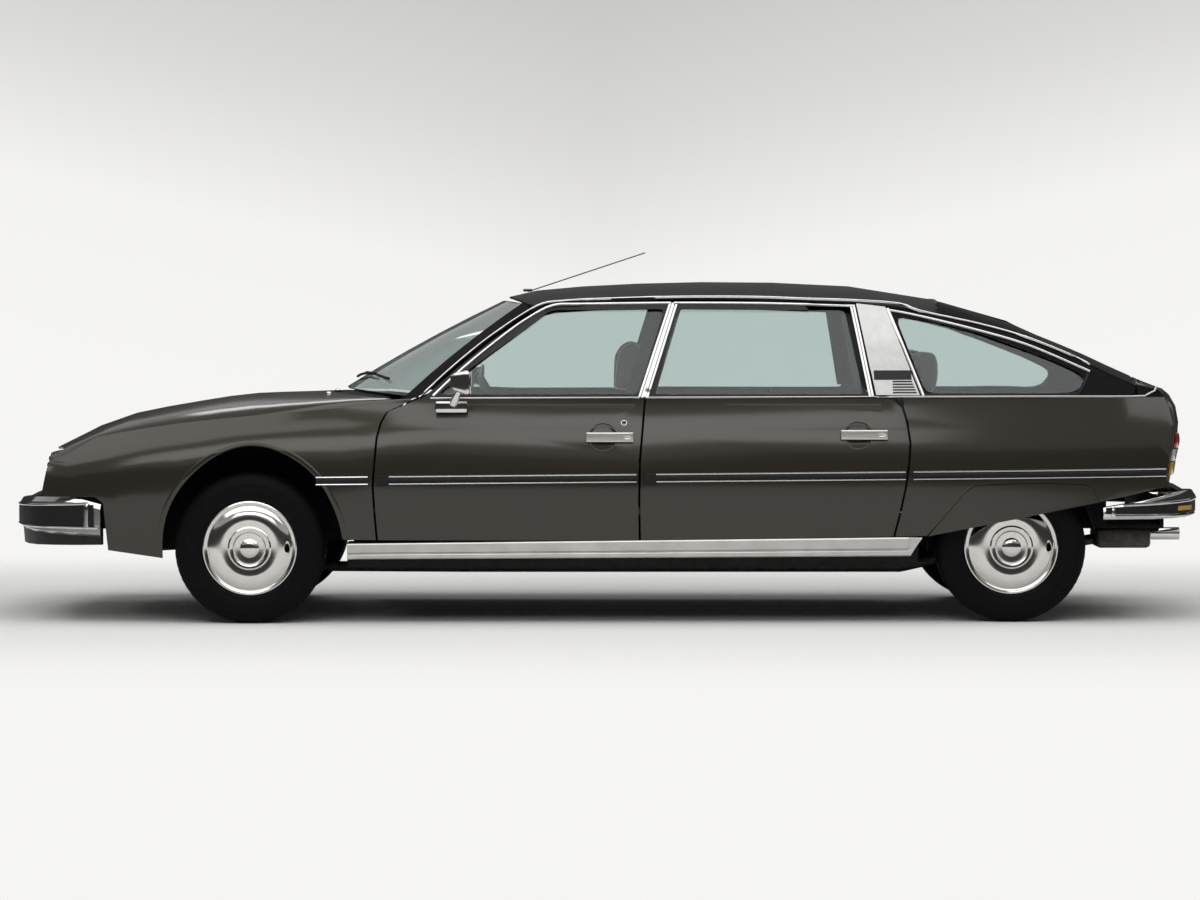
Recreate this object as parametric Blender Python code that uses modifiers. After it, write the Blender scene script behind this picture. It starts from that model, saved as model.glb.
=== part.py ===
"""Four-door fastback saloon with a boot lid, covered rear wheels and a concave rear window.

Metres, +Z up, nose towards -X, the floor at Z = 0, mid length and mid width at the origin.
Lengthwise places are stations: 0 to 1 over the front overhang, 1 to 2 over the wheelbase and
2 to 3 over the rear overhang. Heights are levels: 0 to 1 from floor to belt, 1 to 2 to roof.
"""

import math

import bmesh
import bpy
from mathutils import Matrix, Vector

# Driving dimensions
FRONT_OVERHANG = 1.008
WHEELBASE = 3.095
REAR_OVERHANG = 0.817
HALF_WIDTH = 0.885
BELT_HEIGHT = 0.914
ROOF_HEIGHT = 1.385
FRONT_TRACK = 1.520
REAR_TRACK = 1.368
TYRE_RADIUS = 0.306
FRONT_TYRE_WIDTH = 0.185
REAR_TYRE_WIDTH = 0.172
RIM_RADIUS = 0.178

# Panel build
SEAT_GAP = 0.0003
PANEL_GAP = 0.009
REAR_SHUT_GAP = 0.009
SKIN_THICKNESS = 0.006
FRAME_DEPTH = 0.032
DOOR_DEPTH = 0.070
LAYER_LAP = 0.004
GLASS_THICKNESS = 0.005
GLASS_SINK = 0.012
ROOF_THICKNESS = 0.008
OVERRUN = 0.25
MERGE_DISTANCE = 0.00002

# Body sides
SHOULDER_DROP = 0.088
TUMBLEHOME = 0.20
WAIST_LEVEL_SHARE = 0.675
SHOULDER_POWER = 2.2
ROOF_POWER = 2.6
BONNET_POWER = 2.4
LEAN_LINEAR_SHARE = 0.8

# Doors and lids
DOOR_FRONT_INSET = 0.020
DOOR_REAR_INSET = 0.080
DOOR_BOTTOM_INSET = 0.020
HINGE_FORWARD = 0.060
HINGE_INBOARD = 0.030
BARREL_RADIUS = 0.007
BARREL_HEIGHT = 0.030
PIN_GAP = 0.0003

LENGTH = FRONT_OVERHANG + WHEELBASE + REAR_OVERHANG
FRONT_AXLE_X = FRONT_OVERHANG - LENGTH / 2
REAR_AXLE_X = FRONT_AXLE_X + WHEELBASE

# Outlines: (station share, level share) pairs on the body side
WIDTH_SHARES = ((0.00, 0.78), (0.06, 0.842), (0.16, 0.904), (0.31, 0.947), (0.56, 0.975),
                (1.00, 0.9966), (1.15, 1.0), (1.31, 0.998), (1.63, 0.986), (1.79, 0.974),
                (1.95, 0.951), (2.30, 0.917), (2.67, 0.876), (2.87, 0.831), (3.00, 0.79))
TUCK_SHARES = ((0.20, 0.070), (0.33, 0.036), (0.44, 0.016), (0.60, 0.002), (0.675, 0.0))
SHOULDER_SHARES = ((0.00, 0.690, 0.600), (0.145, 0.718, 0.712), (0.238, 0.740, 0.768),
                   (0.313, 0.763, 0.816), (0.426, 0.785, 0.850), (0.529, 0.800, 0.873),
                   (0.701, 0.819, 0.905), (0.872, 0.833, 0.928), (1.014, 0.842, 0.947),
                   (1.070, 0.853, 0.964), (1.142, 0.868, 0.985), (1.203, 0.890, 0.999),
                   (1.250, 0.899, 1.002), (1.45, 0.896, 1.002), (1.63, 0.887, 1.002),
                   (1.79, 0.875, 1.002), (1.95, 0.852, 1.002), (2.30, 0.818, 1.002),
                   (2.67, 0.777, 1.002), (3.00, 0.70, 1.002))
ROUND_NOSE_SHARES = ((0.0, 1.0), (0.55, 1.0), (1.0, 0.55), (1.16, 0.10), (1.25, 0.0), (3.0, 0.0))
GUTTER_SHARES = ((1.20, 1.002), (1.221, 1.002), (1.265, 1.272), (1.312, 1.522), (1.355, 1.717),
                 (1.382, 1.808), (1.403, 1.837), (1.452, 1.853), (1.556, 1.865), (1.660, 1.857),
                 (1.729, 1.842), (1.798, 1.824), (1.854, 1.796), (1.882, 1.758), (1.935, 1.681),
                 (1.987, 1.587), (2.149, 1.475), (2.408, 1.286), (2.60, 1.12), (2.66, 1.095), (2.76, 1.05),
                 (2.84, 1.03))
ROOF_LINE_SHARES = ((1.333, 1.870), (1.355, 1.912), (1.398, 1.947), (1.451, 1.974),
                    (1.523, 1.995), (1.613, 2.007), (1.667, 2.004), (1.738, 1.993),
                    (1.792, 1.971), (1.868, 1.924), (1.908, 1.853))
BONNET_LINE_SHARES = ((0.138, 0.748), (0.185, 0.791), (0.274, 0.836), (0.389, 0.886),
                      (0.496, 0.923), (0.628, 0.948), (0.806, 0.982), (1.014, 1.012),
                      (1.081, 1.024), (1.115, 1.032), (1.25, 1.036))
FRONT_DOOR_NOSE_SHARES = ((1.167, 0.372), (1.164, 0.498), (1.162, 0.608), (1.164, 0.710),
                          (1.167, 0.825), (1.172, 0.890), (1.180, 0.940))
FRONT_DOOR_TOP_SHARES = ((1.2125, 0.988), (1.2285, 1.010), (1.273, 1.268), (1.318, 1.506),
                         (1.360, 1.690), (1.386, 1.772), (1.404, 1.795), (1.452, 1.815),
                         (1.5565, 1.828))
SPLIT_SHARES = ((1.5565, 1.828), (1.518, 0.999), (1.515, 0.882), (1.511, 0.727),
                (1.510, 0.550), (1.511, 0.369))
REAR_DOOR_TOP_SHARES = ((1.5565, 1.828), (1.660, 1.822), (1.729, 1.808), (1.7935, 1.792))
REAR_DOOR_TAIL_SHARES = ((1.815, 1.016), (1.845, 0.992), (1.856, 0.958), (1.861, 0.896),
                         (1.865, 0.802), (1.863, 0.704), (1.859, 0.607), (1.852, 0.492),
                         (1.844, 0.386))
FRONT_GLASS_SHARES = ((1.246, 1.030), (1.289, 1.256), (1.391, 1.745), (1.4005, 1.758),
                      (1.544, 1.765), (1.509, 1.030))
REAR_GLASS_SHARES = ((1.530, 1.030), (1.563, 1.762), (1.783, 1.755), (1.805, 1.030))
QUARTER_GLASS_SHARES = ((1.850, 1.700), (1.887, 1.036), (2.285, 1.036), (2.355, 1.081),
                        (2.370, 1.194), (2.241, 1.301), (2.045, 1.435), (1.960, 1.560),
                        (1.895, 1.669))
FRONT_ARCH_SHARES = ((0.649, 0.300), (0.649, 0.396), (0.667, 0.498), (0.723, 0.610),
                     (0.815, 0.712), (0.907, 0.772), (0.999, 0.798), (1.030, 0.782),
                     (1.062, 0.732), (1.090, 0.653), (1.107, 0.551), (1.120, 0.440),
                     (1.123, 0.374))
WING_FRONT_SHARES = ((0.160, 0.585), (0.178, 0.675), (0.212, 0.748), (0.232, 0.790))
BUMPER_NOTCH_SHARES = ((0.10, 0.562), (0.380, 0.562), (0.412, 0.535), (0.428, 0.335),
                       (0.10, 0.335))
WING_BOTTOM_SHARES = ((0.428, 0.325), (0.649, 0.290))
SPAT_SHARES = ((1.887, 0.388), (1.911, 0.481), (1.937, 0.583), (1.950, 0.614), (2.050, 0.622),
               (2.133, 0.623), (2.351, 0.618), (2.396, 0.605), (2.421, 0.561), (2.434, 0.538))
QUARTER_BOTTOM_SHARES = ((2.434, 0.536), (2.558, 0.560), (2.790, 0.609), (2.95, 0.62))
TAIL_SHARES = ((1.100, 2.740), (1.060, 2.790), (1.013, 2.822), (0.954, 2.856), (0.882, 2.871),
               (0.800, 2.866), (0.735, 2.848), (0.640, 2.832), (0.602, 2.826))
BUTTRESS_SHARES = ((1.908, 1.835), (1.940, 1.784), (1.977, 1.697), (2.063, 1.607),
                   (2.212, 1.499), (2.362, 1.391), (2.512, 1.270), (2.662, 1.155),
                   (2.762, 1.083), (2.84, 1.045))
SILL_TOP_LEVEL_SHARE = 0.372
SILL_BOTTOM_LEVEL_SHARE = 0.288
UNDERFLOOR_LEVEL_SHARE = 0.250
SILL_TOP = BELT_HEIGHT * SILL_TOP_LEVEL_SHARE - PANEL_GAP

# Cross-car places
SCREEN_BASE_HALF = 0.740
SCREEN_TOP_HALF = 0.560
SCREEN_SWEEP_BASE = 0.283
SCREEN_SWEEP_TOP = 0.079
ROOF_NOSE_SWEEP = 0.125
SCREEN_BASE_DROP = 0.024
SCREEN_TOP_DROP = 0.014
SCREEN_CROWN = 0.012
SCREEN_BASE_SHARES = (1.1105, 1.060)
SCREEN_TOP_SHARES = (1.3305, 1.850)
SCREEN_THICKNESS = 0.006
PILLAR_DEPTH = 0.045
BUTTRESS_HALF_TOP = 0.500
WINDOW_HOLLOW = 0.055
WINDOW_EDGE_GAP = 0.002
BUTTRESS_POWER = 1.6
TAIL_CROWN = 0.042
NOSE_SWEEP = 0.098
NOSE_HALF = 0.655
TAIL_SWEEP = 0.110
TAIL_HALF = 0.700

WALL_COLOURS = {
    "paint": ((0.070, 0.064, 0.048), 0.35, 0.6),
    "vinyl": ((0.012, 0.011, 0.011), 0.75, 0.0),
    "steel": ((0.75, 0.75, 0.74), 0.20, 1.0),
    "rubber": ((0.012, 0.012, 0.012), 0.80, 0.0),
    "dark_metal": ((0.035, 0.035, 0.036), 0.55, 0.5),
    "glass": ((0.55, 0.62, 0.58), 0.05, 0.0),
    "cloth": ((0.16, 0.14, 0.10), 0.90, 0.0),
    "red_lens": ((0.35, 0.02, 0.015), 0.15, 0.0),
    "clear_lens": ((0.75, 0.76, 0.78), 0.10, 0.0),
    "black_plastic": ((0.02, 0.02, 0.02), 0.60, 0.0),
}


def interpolate(table, at, column=1):
    """Smooth value of a table of rows (position, value, ...) at a position."""
    last = len(table) - 1
    if at <= table[0][0]:
        return table[0][column]
    if at >= table[last][0]:
        return table[last][column]
    index = 0
    while table[index + 1][0] < at:
        index += 1
    x0, x1 = table[index][0], table[index + 1][0]
    y0, y1 = table[index][column], table[index + 1][column]
    before = table[max(index - 1, 0)]
    after = table[min(index + 2, last)]
    span = x1 - x0
    slope = (y1 - y0) / span
    start_slope = 0.5 * (slope + (y0 - before[column]) / (x0 - before[0])) if index else slope
    end_slope = 0.5 * (slope + (after[column] - y1) / (after[0] - x1)) if index + 1 < last else slope
    t = (at - x0) / span
    bend_in = start_slope * span * (t - 2 * t * t + t ** 3)
    bend_out = end_slope * span * (t ** 3 - t * t)
    return y0 + (y1 - y0) * (3 * t * t - 2 * t ** 3) + bend_in + bend_out


def x_at(station):
    """Lengthwise place of a station."""
    if station < 1:
        return station * FRONT_OVERHANG - LENGTH / 2
    if station < 2:
        return FRONT_AXLE_X + (station - 1) * WHEELBASE
    return REAR_AXLE_X + (station - 2) * REAR_OVERHANG


def station_at(x):
    """Station of a lengthwise place."""
    if x < FRONT_AXLE_X:
        return (x + LENGTH / 2) / FRONT_OVERHANG
    if x < REAR_AXLE_X:
        return 1 + (x - FRONT_AXLE_X) / WHEELBASE
    return 2 + (x - REAR_AXLE_X) / REAR_OVERHANG


def z_at(level):
    """Height of a level."""
    if level < 1:
        return level * BELT_HEIGHT
    return BELT_HEIGHT + (level - 1) * (ROOF_HEIGHT - BELT_HEIGHT)


def level_at(z):
    """Level of a height."""
    if z < BELT_HEIGHT:
        return z / BELT_HEIGHT
    return 1 + (z - BELT_HEIGHT) / (ROOF_HEIGHT - BELT_HEIGHT)


def half_width(station):
    """Half of the body's widest section at a station."""
    return HALF_WIDTH * interpolate(WIDTH_SHARES, station)


def shoulder(station):
    """Sideways place and height where the flank ends: bonnet shut line, then belt."""
    return (HALF_WIDTH * interpolate(SHOULDER_SHARES, station, 1),
            z_at(interpolate(SHOULDER_SHARES, station, 2)))


def flank_y(station, z):
    """Sideways place of the body side at a station and a height."""
    widest = half_width(station)
    waist = BELT_HEIGHT * WAIST_LEVEL_SHARE
    top_y, top_z = shoulder(station)
    if z <= waist:
        return widest - HALF_WIDTH * interpolate(TUCK_SHARES, level_at(z))
    if z <= top_z:
        rise = (z - waist) / (top_z - waist)
        nose = interpolate(ROUND_NOSE_SHARES, station)
        fall = nose * (1 - math.sqrt(max(0.0, 1 - rise * rise))) + (1 - nose) * rise ** SHOULDER_POWER
        return widest - (widest - top_y) * fall
    rise = (z - top_z) / (ROOF_HEIGHT * 1.318 / 1.385 - BELT_HEIGHT)
    return top_y - TUMBLEHOME * (LEAN_LINEAR_SHARE * rise + (1 - LEAN_LINEAR_SHARE) * rise * rise)


def smooth_path(points, steps=3):
    """Points of a smooth curve through the given points, in any number of dimensions."""
    result = []
    last = len(points) - 1
    for index in range(last):
        p0 = points[max(index - 1, 0)]
        p1 = points[index]
        p2 = points[index + 1]
        p3 = points[min(index + 2, last)]
        for step in range(steps):
            t = step / steps
            row = []
            for a, b, c, d in zip(p0, p1, p2, p3):
                row.append(0.5 * (2 * b + (c - a) * t + (2 * a - 5 * b + 4 * c - d) * t * t
                                  + (3 * b - a - 3 * c + d) * t ** 3))
            result.append(tuple(row))
    result.append(tuple(points[last]))
    return result


def side_points(shares):
    """Side-view places (x, z) of (station share, level share) pairs."""
    return [(x_at(station), z_at(level)) for station, level in shares]


def start_scene():
    """Empty the file and make the collections for the parts and the cutters."""
    for old in list(bpy.data.objects):
        bpy.data.objects.remove(old, do_unlink=True)
    groups = {}
    for name in ("fastback_saloon", "cutters"):
        groups[name] = bpy.data.collections.new(name)
        bpy.context.scene.collection.children.link(groups[name])
    return groups["fastback_saloon"], groups["cutters"]


PARTS, CUTTERS = start_scene()


def material(name):
    """The named finish, made once."""
    found = bpy.data.materials.get(name)
    if found:
        return found
    colour, roughness, metallic = WALL_COLOURS[name]
    made = bpy.data.materials.new(name)
    made.use_nodes = True
    shader = made.node_tree.nodes["Principled BSDF"]
    shader.inputs["Base Color"].default_value = (*colour, 1.0)
    shader.inputs["Roughness"].default_value = roughness
    shader.inputs["Metallic"].default_value = metallic
    return made


def new_object(name, mesh, group=None):
    """Link a mesh as an object; without a group it is a cutter or a blank."""
    made = bpy.data.objects.new(name, mesh)
    if group is None:
        CUTTERS.objects.link(made)
        made.hide_render = True
        made.display_type = "WIRE"
    else:
        group.objects.link(made)
    return made


def tidy_mesh(mesh):
    """Weld a mesh and point its faces outwards."""
    work = bmesh.new()
    work.from_mesh(mesh)
    bmesh.ops.remove_doubles(work, verts=work.verts, dist=MERGE_DISTANCE)
    bmesh.ops.dissolve_degenerate(work, edges=work.edges, dist=MERGE_DISTANCE)
    bmesh.ops.recalc_face_normals(work, faces=work.faces)
    work.to_mesh(mesh)
    work.free()


def settle(made):
    """Turn an object's modifiers or curve into its own mesh, at its place in the world."""
    graph = bpy.context.evaluated_depsgraph_get()
    mesh = bpy.data.meshes.new_from_object(made.evaluated_get(graph))
    mesh.transform(made.matrix_world)
    tidy_mesh(mesh)
    name = made.name
    bpy.data.objects.remove(made, do_unlink=True)
    mesh.name = name
    return new_object(name, mesh)


def combine(base, others, operation, use_self=False):
    """Join, cut or intersect a blank with other blanks, which are used up."""
    for other in others:
        change = base.modifiers.new("combine", "BOOLEAN")
        change.operation = operation
        change.solver = "EXACT"
        change.use_self = use_self
        change.object = other
        base = settle(base)
        bpy.data.objects.remove(other, do_unlink=True)
    return base


def finish(blank, name, finish_name):
    """Give a finished blank its name, its material and its place among the parts."""
    mesh = blank.data
    bpy.data.objects.remove(blank, do_unlink=True)
    mesh.name = name
    mesh.materials.clear()
    mesh.materials.append(material(finish_name))
    mesh.shade_smooth()
    mesh.set_sharp_from_angle(angle=math.radians(28))
    return new_object(name, mesh, PARTS)


def reflected(blank, name):
    """A copy of a blank on the other side of the car."""
    mesh = blank.data.copy()
    mesh.transform(Matrix.Scale(-1, 4, Vector((0, 1, 0))))
    mesh.flip_normals()
    return new_object(name, mesh)


def finish_pair(blank, name, finish_name):
    """Finish a right-hand blank and its left-hand reflection."""
    left = finish(reflected(blank, name), name + "_left", finish_name)
    right = finish(blank, name + "_right", finish_name)
    return left, right


def sheet(name, point_at, columns, rows, thickness, inward):
    """A shell: a grid laid on a surface, with its wall on the inward side."""
    work = bmesh.new()
    bmesh.ops.create_grid(work, x_segments=columns, y_segments=rows, size=0.5)
    for vertex in work.verts:
        vertex.co = Vector(point_at(vertex.co.x + 0.5, vertex.co.y + 0.5))
    work.normal_update()
    facing = sum(face.normal.dot(Vector(inward)) for face in work.faces)
    mesh = bpy.data.meshes.new(name)
    work.to_mesh(mesh)
    work.free()
    made = new_object(name, mesh)
    wall = made.modifiers.new("wall", "SOLIDIFY")
    wall.thickness = thickness
    wall.offset = 1 if facing > 0 else -1
    return settle(made)


def prism(name, points, near, far, view="side"):
    """A flat outline extruded: side view (x, z) across the car, rear view (y, z) along it,
    or plan (x, y) upwards, between two places on the remaining axis."""
    curve = bpy.data.curves.new(name, "CURVE")
    curve.dimensions = "2D"
    curve.fill_mode = "BOTH"
    curve.extrude = abs(far - near) / 2
    line = curve.splines.new("POLY")
    line.points.add(len(points) - 1)
    for point, (across, up) in zip(line.points, points):
        point.co = (across, up, 0, 1)
    line.use_cyclic_u = True
    made = new_object(name, curve)
    middle = (near + far) / 2
    quarter_turn = math.pi / 2
    if view == "side":
        made.location = (0, middle, 0)
        made.rotation_euler = (quarter_turn, 0, 0)
    elif view == "rear":
        made.location = (middle, 0, 0)
        made.rotation_euler = (quarter_turn, 0, quarter_turn)
    else:
        made.location = (0, 0, middle)
    bpy.context.view_layer.update()
    return settle(made)


def loft(name, sections, closed=False):
    """A solid skinned over a row of sections with equal numbers of points."""
    work = bmesh.new()
    rings = [[work.verts.new(point) for point in section] for section in sections]
    count = len(rings[0])
    pairs = list(zip(rings, rings[1:]))
    if closed:
        pairs.append((rings[-1], rings[0]))
    for lower, upper in pairs:
        for index in range(count):
            after = (index + 1) % count
            work.faces.new((lower[index], lower[after], upper[after], upper[index]))
    if not closed:
        work.faces.new(list(reversed(rings[0])))
        work.faces.new(rings[-1])
    bmesh.ops.recalc_face_normals(work, faces=work.faces)
    mesh = bpy.data.meshes.new(name)
    work.to_mesh(mesh)
    work.free()
    return new_object(name, mesh)


def block(name, low, high, bevel=0.0):
    """A box between two corners, with its edges rounded off if asked."""
    work = bmesh.new()
    bmesh.ops.create_cube(work, size=1.0)
    for vertex in work.verts:
        vertex.co = Vector([a + (b - a) * (share + 0.5) for a, b, share in zip(low, high, vertex.co)])
    mesh = bpy.data.meshes.new(name)
    work.to_mesh(mesh)
    work.free()
    made = new_object(name, mesh)
    if bevel:
        rounding = made.modifiers.new("rounding", "BEVEL")
        rounding.width = bevel
        rounding.segments = 2
    return settle(made)


def rod(name, start, end, radius, sides=8):
    """A round bar between two points."""
    start, end = Vector(start), Vector(end)
    work = bmesh.new()
    bmesh.ops.create_cone(work, cap_ends=True, segments=sides, radius1=radius, radius2=radius,
                          depth=(end - start).length)
    turn = Vector((0, 0, 1)).rotation_difference(end - start).to_matrix().to_4x4()
    bmesh.ops.transform(work, matrix=Matrix.Translation((start + end) / 2) @ turn, verts=work.verts)
    mesh = bpy.data.meshes.new(name)
    work.to_mesh(mesh)
    work.free()
    return new_object(name, mesh)


def tube(name, points, radius, resolution=2):
    """A round bar along a smooth line."""
    curve = bpy.data.curves.new(name, "CURVE")
    curve.dimensions = "3D"
    curve.bevel_depth = radius
    curve.bevel_resolution = resolution
    curve.use_fill_caps = True
    line = curve.splines.new("POLY")
    line.points.add(len(points) - 1)
    for point, place in zip(line.points, points):
        point.co = (*place, 1)
    return settle(new_object(name, curve))


def turned(name, profile, centre, steps):
    """A ring turned about the axle line: profile of (radius, outboard place) corners."""
    mesh = bpy.data.meshes.new(name)
    work = bmesh.new()
    corners = [work.verts.new((radius, along, 0)) for radius, along in profile]
    for first, second in zip(corners, corners[1:] + corners[:1]):
        work.edges.new((first, second))
    work.to_mesh(mesh)
    work.free()
    made = new_object(name, mesh)
    spin = made.modifiers.new("spin", "SCREW")
    spin.axis = "Y"
    spin.steps = steps
    spin.render_steps = steps
    spin.use_merge_vertices = True
    spin.merge_threshold = 0.0001
    made.location = centre
    made.rotation_euler = (0, math.pi / steps, 0)
    bpy.context.view_layer.update()
    return settle(made)


def shifted(points, along, up):
    """A stretch of an outline moved bodily."""
    return [(x + along, z + up) for x, z in points]


def grown(points, distance):
    """An outline moved outwards by a distance, inwards where it is negative."""
    area = sum(a[0] * b[1] - b[0] * a[1] for a, b in zip(points, points[1:] + points[:1]))
    turn = 1 if area > 0 else -1
    result = []
    for before, here, after in zip(points[-1:] + points[:-1], points, points[1:] + points[:1]):
        first = Vector((here[0] - before[0], here[1] - before[1])).normalized()
        second = Vector((after[0] - here[0], after[1] - here[1])).normalized()
        normal = Vector((first.y + second.y, -first.x - second.x)) * turn
        normal.normalize()
        reach = distance / max(0.5, abs(normal.x * first.y - normal.y * first.x))
        result.append((here[0] + normal.x * reach, here[1] + normal.y * reach))
    return result


def flank_slab(name, first, last, low, high, columns, rows, inset, thickness):
    """A slab of the body side between two stations and two heights, set in from its surface."""
    belt = z_at(SHOULDER_SHARES[-1][2])
    below = max(1, round(rows * (belt - low) / (high - low))) if high > belt else rows
    crease_share = below / rows if high > belt else 1.0
    crease = belt if high > belt else high

    def place(u, v):
        station = first + (last - first) * u
        if v <= crease_share:
            z = low + (crease - low) * v / crease_share
        else:
            z = crease + (high - crease) * (v - crease_share) / (1 - crease_share)
        return x_at(station), flank_y(station, z) - inset, z

    return sheet(name, place, columns, rows, thickness, (0, -1, 0))


def front_door_outline():
    """Stretches of the front door's edge: nose, top, rear split, each a list of (x, z)."""
    return side_points(FRONT_DOOR_NOSE_SHARES), side_points(FRONT_DOOR_TOP_SHARES), side_points(SPLIT_SHARES)


def rear_door_outline():
    """Stretches of the rear door's edge: front split, top, tail."""
    split = list(reversed(side_points(SPLIT_SHARES)))
    return split, side_points(REAR_DOOR_TOP_SHARES), side_points(REAR_DOOR_TAIL_SHARES)


def door_body(name, first, last, columns, leading, top, trailing, window, hinge_x, hinge_y):
    """One right-hand door: skin flange, lower box, window frame and two hinge halves."""
    sill_rise = DOOR_BOTTOM_INSET
    frame_inset = 0.015
    half_gap = PANEL_GAP / 2
    belt = z_at(SHOULDER_SHARES[-1][2])
    box_top = belt - SKIN_THICKNESS
    foot = min(leading[0][1], trailing[-1][1])
    roof_line = max(z for _, z in top)
    reach = (HALF_WIDTH - TUMBLEHOME - SHOULDER_DROP - OVERRUN, HALF_WIDTH + OVERRUN)
    rise = (roof_line + OVERRUN / 5)
    skin = flank_slab(name + "_skin", first, last, foot - OVERRUN / 5, rise, columns, 8, 0, SKIN_THICKNESS)
    first_top = top[:1]
    top = top[1:-1]
    outline = shifted(leading, half_gap, 0) + top + shifted(trailing, -half_gap, 0)
    skin = combine(skin, [prism(name + "_edge", outline, *reach)], "INTERSECT")
    box = flank_slab(name + "_box", first, last, foot + sill_rise, box_top, columns // 2, 4, LAYER_LAP,
                     DOOR_DEPTH - LAYER_LAP)
    lower_lead = [point for point in leading if point[1] < box_top - SHOULDER_DROP]
    lower_trail = [point for point in trailing if point[1] < box_top]
    corner_x = max(x for x, z in leading + first_top if z < box_top)
    corner_x += (corner_x - lower_lead[-1][0]) * DOOR_CORNER_EASE
    box_outline = (shifted(lower_lead, DOOR_FRONT_INSET, 0) + [(corner_x + DOOR_FRONT_INSET, belt)]
                   + [(lower_trail[0][0] - DOOR_REAR_INSET, belt)] + shifted(lower_trail, -DOOR_REAR_INSET, 0))
    box = combine(box, [prism(name + "_box_edge", box_outline, *reach)], "INTERSECT")
    frame = flank_slab(name + "_frame", first, last, box_top - DOOR_BOTTOM_INSET, rise, columns, 3, LAYER_LAP,
                       FRAME_DEPTH - LAYER_LAP)
    frame_outline = (shifted(leading, frame_inset, 0) + shifted(top, frame_inset / 2, -frame_inset / 2)
                     + shifted(trailing, -frame_inset, 0))
    frame = combine(frame, [prism(name + "_frame_edge", frame_outline, *reach)], "INTERSECT")
    body = combine(skin, [box, frame], "UNION")
    body = combine(body, [prism(name + "_window", window, *reach)], "DIFFERENCE")
    halves = []
    for height in HINGE_HEIGHTS:
        halves.extend(door_hinge_half(hinge_x, hinge_y, height))
    return combine(body, halves, "UNION")


HINGE_HEIGHTS = (0.470, 0.655)
DOOR_CORNER_EASE = 0.60
NECK_PLAN = ((0.0040, 0), (0.0188, 0.0437), (0.0317, 0.0540), (0.0775, 0.0540), (0.0775, 0.0380), (0.0975, 0.0380),
             (0.0975, 0.0620), (0.0284, 0.0620), (0.0112, 0.0463), (-0.0040, 0))
WEB_DEPTH = 0.082
POST_INSET = 0.098
FRONT_HINGE_STATION = 1.17
REAR_HINGE_STATION = 1.51


def door_hinge_half(hinge_x, hinge_y, height):
    """The door's half of a hinge: barrel and a gooseneck plate that clears the panel ahead as it swings."""
    low = height - BARREL_HEIGHT - PIN_GAP / 2
    high = height - PIN_GAP / 2
    barrel = rod("barrel", (hinge_x, hinge_y, low), (hinge_x, hinge_y, high), BARREL_RADIUS)
    plan = [(hinge_x + rearward, hinge_y - inboard) for rearward, inboard in NECK_PLAN]
    neck = prism("neck", plan, low + BARREL_RADIUS / 4, high - BARREL_RADIUS / 4, "plan")
    return [barrel, neck]


def pillar_hinge_half(hinge_x, hinge_y, height, post_y):
    """The body's half of a hinge: a barrel on a web from the pillar."""
    arm = BARREL_RADIUS
    low = height + PIN_GAP / 2
    high = height + BARREL_HEIGHT + PIN_GAP / 2
    barrel = rod("post_barrel", (hinge_x, hinge_y, low), (hinge_x, hinge_y, high), BARREL_RADIUS)
    web = block("web", (hinge_x - arm / 2, post_y, low + arm / 4), (hinge_x + arm / 2, hinge_y, high - arm / 4))
    return [barrel, web]


def door_hinge_place(leading, station):
    """Axis of a door's hinges, ahead of its foremost edge and inboard of the widest skin."""
    front = min(x for x, z in leading)
    return front + PANEL_GAP / 2 - HINGE_FORWARD, half_width(station) - HINGE_INBOARD


def build_doors():
    """Four doors with their glass."""
    front = front_door_outline()
    rear = rear_door_outline()
    plans = (("front_door", 1.13, 1.60, 6, front, FRONT_GLASS_SHARES, FRONT_HINGE_STATION),
             ("rear_door", 1.48, 1.90, 6, rear, REAR_GLASS_SHARES, REAR_HINGE_STATION))
    for name, first, last, columns, edges, glass_shares, hinge_station in plans:
        leading, top, trailing = edges
        window = smooth_corners(side_points(glass_shares))
        hinge_x, hinge_y = door_hinge_place(leading, hinge_station)
        door = door_body(name, first, last, columns, leading, top, trailing, window, hinge_x, hinge_y)
        finish_pair(door, name, "paint")
        pane = side_pane(name + "_glass", first, last, window)
        finish_pair(pane, name + "_glass", "glass")


CORNER_ROUNDING = 0.018


def smooth_corners(points, radius=CORNER_ROUNDING, steps=2):
    """An outline with each corner rounded off."""
    result = []
    for before, here, after in zip(points[-1:] + points[:-1], points, points[1:] + points[:1]):
        back = Vector(before) - Vector(here)
        ahead = Vector(after) - Vector(here)
        start = Vector(here) + back.normalized() * min(radius, back.length / 3)
        end = Vector(here) + ahead.normalized() * min(radius, ahead.length / 3)
        for step in range(steps + 1):
            t = step / steps
            point = start * (1 - t) ** 2 + Vector(here) * 2 * t * (1 - t) + end * t * t
            result.append((point.x, point.y))
    return result


def side_pane(name, first, last, window):
    """Side glass that fills a window cut, a seat gap clear of its edge."""
    low = min(z for _, z in window) - CORNER_ROUNDING
    high = max(z for _, z in window) + CORNER_ROUNDING
    reach = (HALF_WIDTH - TUMBLEHOME - SHOULDER_DROP - OVERRUN, HALF_WIDTH + OVERRUN)
    pane = flank_slab(name, first, last, low, high, 5, 3, GLASS_SINK, GLASS_THICKNESS)
    return combine(pane, [prism(name + "_edge", grown(window, -SEAT_GAP), *reach)], "INTERSECT")


def gutter(station):
    """Sideways place and height of the roof gutter."""
    z = z_at(interpolate(GUTTER_SHARES, station))
    return flank_y(station, z), z


def roof_point(station, share):
    """A point on the roof: share runs from -1 at the left gutter to 1 at the right one."""
    edge_y, edge_z = gutter(station)
    crown_z = z_at(interpolate(ROOF_LINE_SHARES, station))
    z = crown_z - (crown_z - edge_z) * abs(share) ** ROOF_POWER
    return x_at(station), edge_y * share, z


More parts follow.
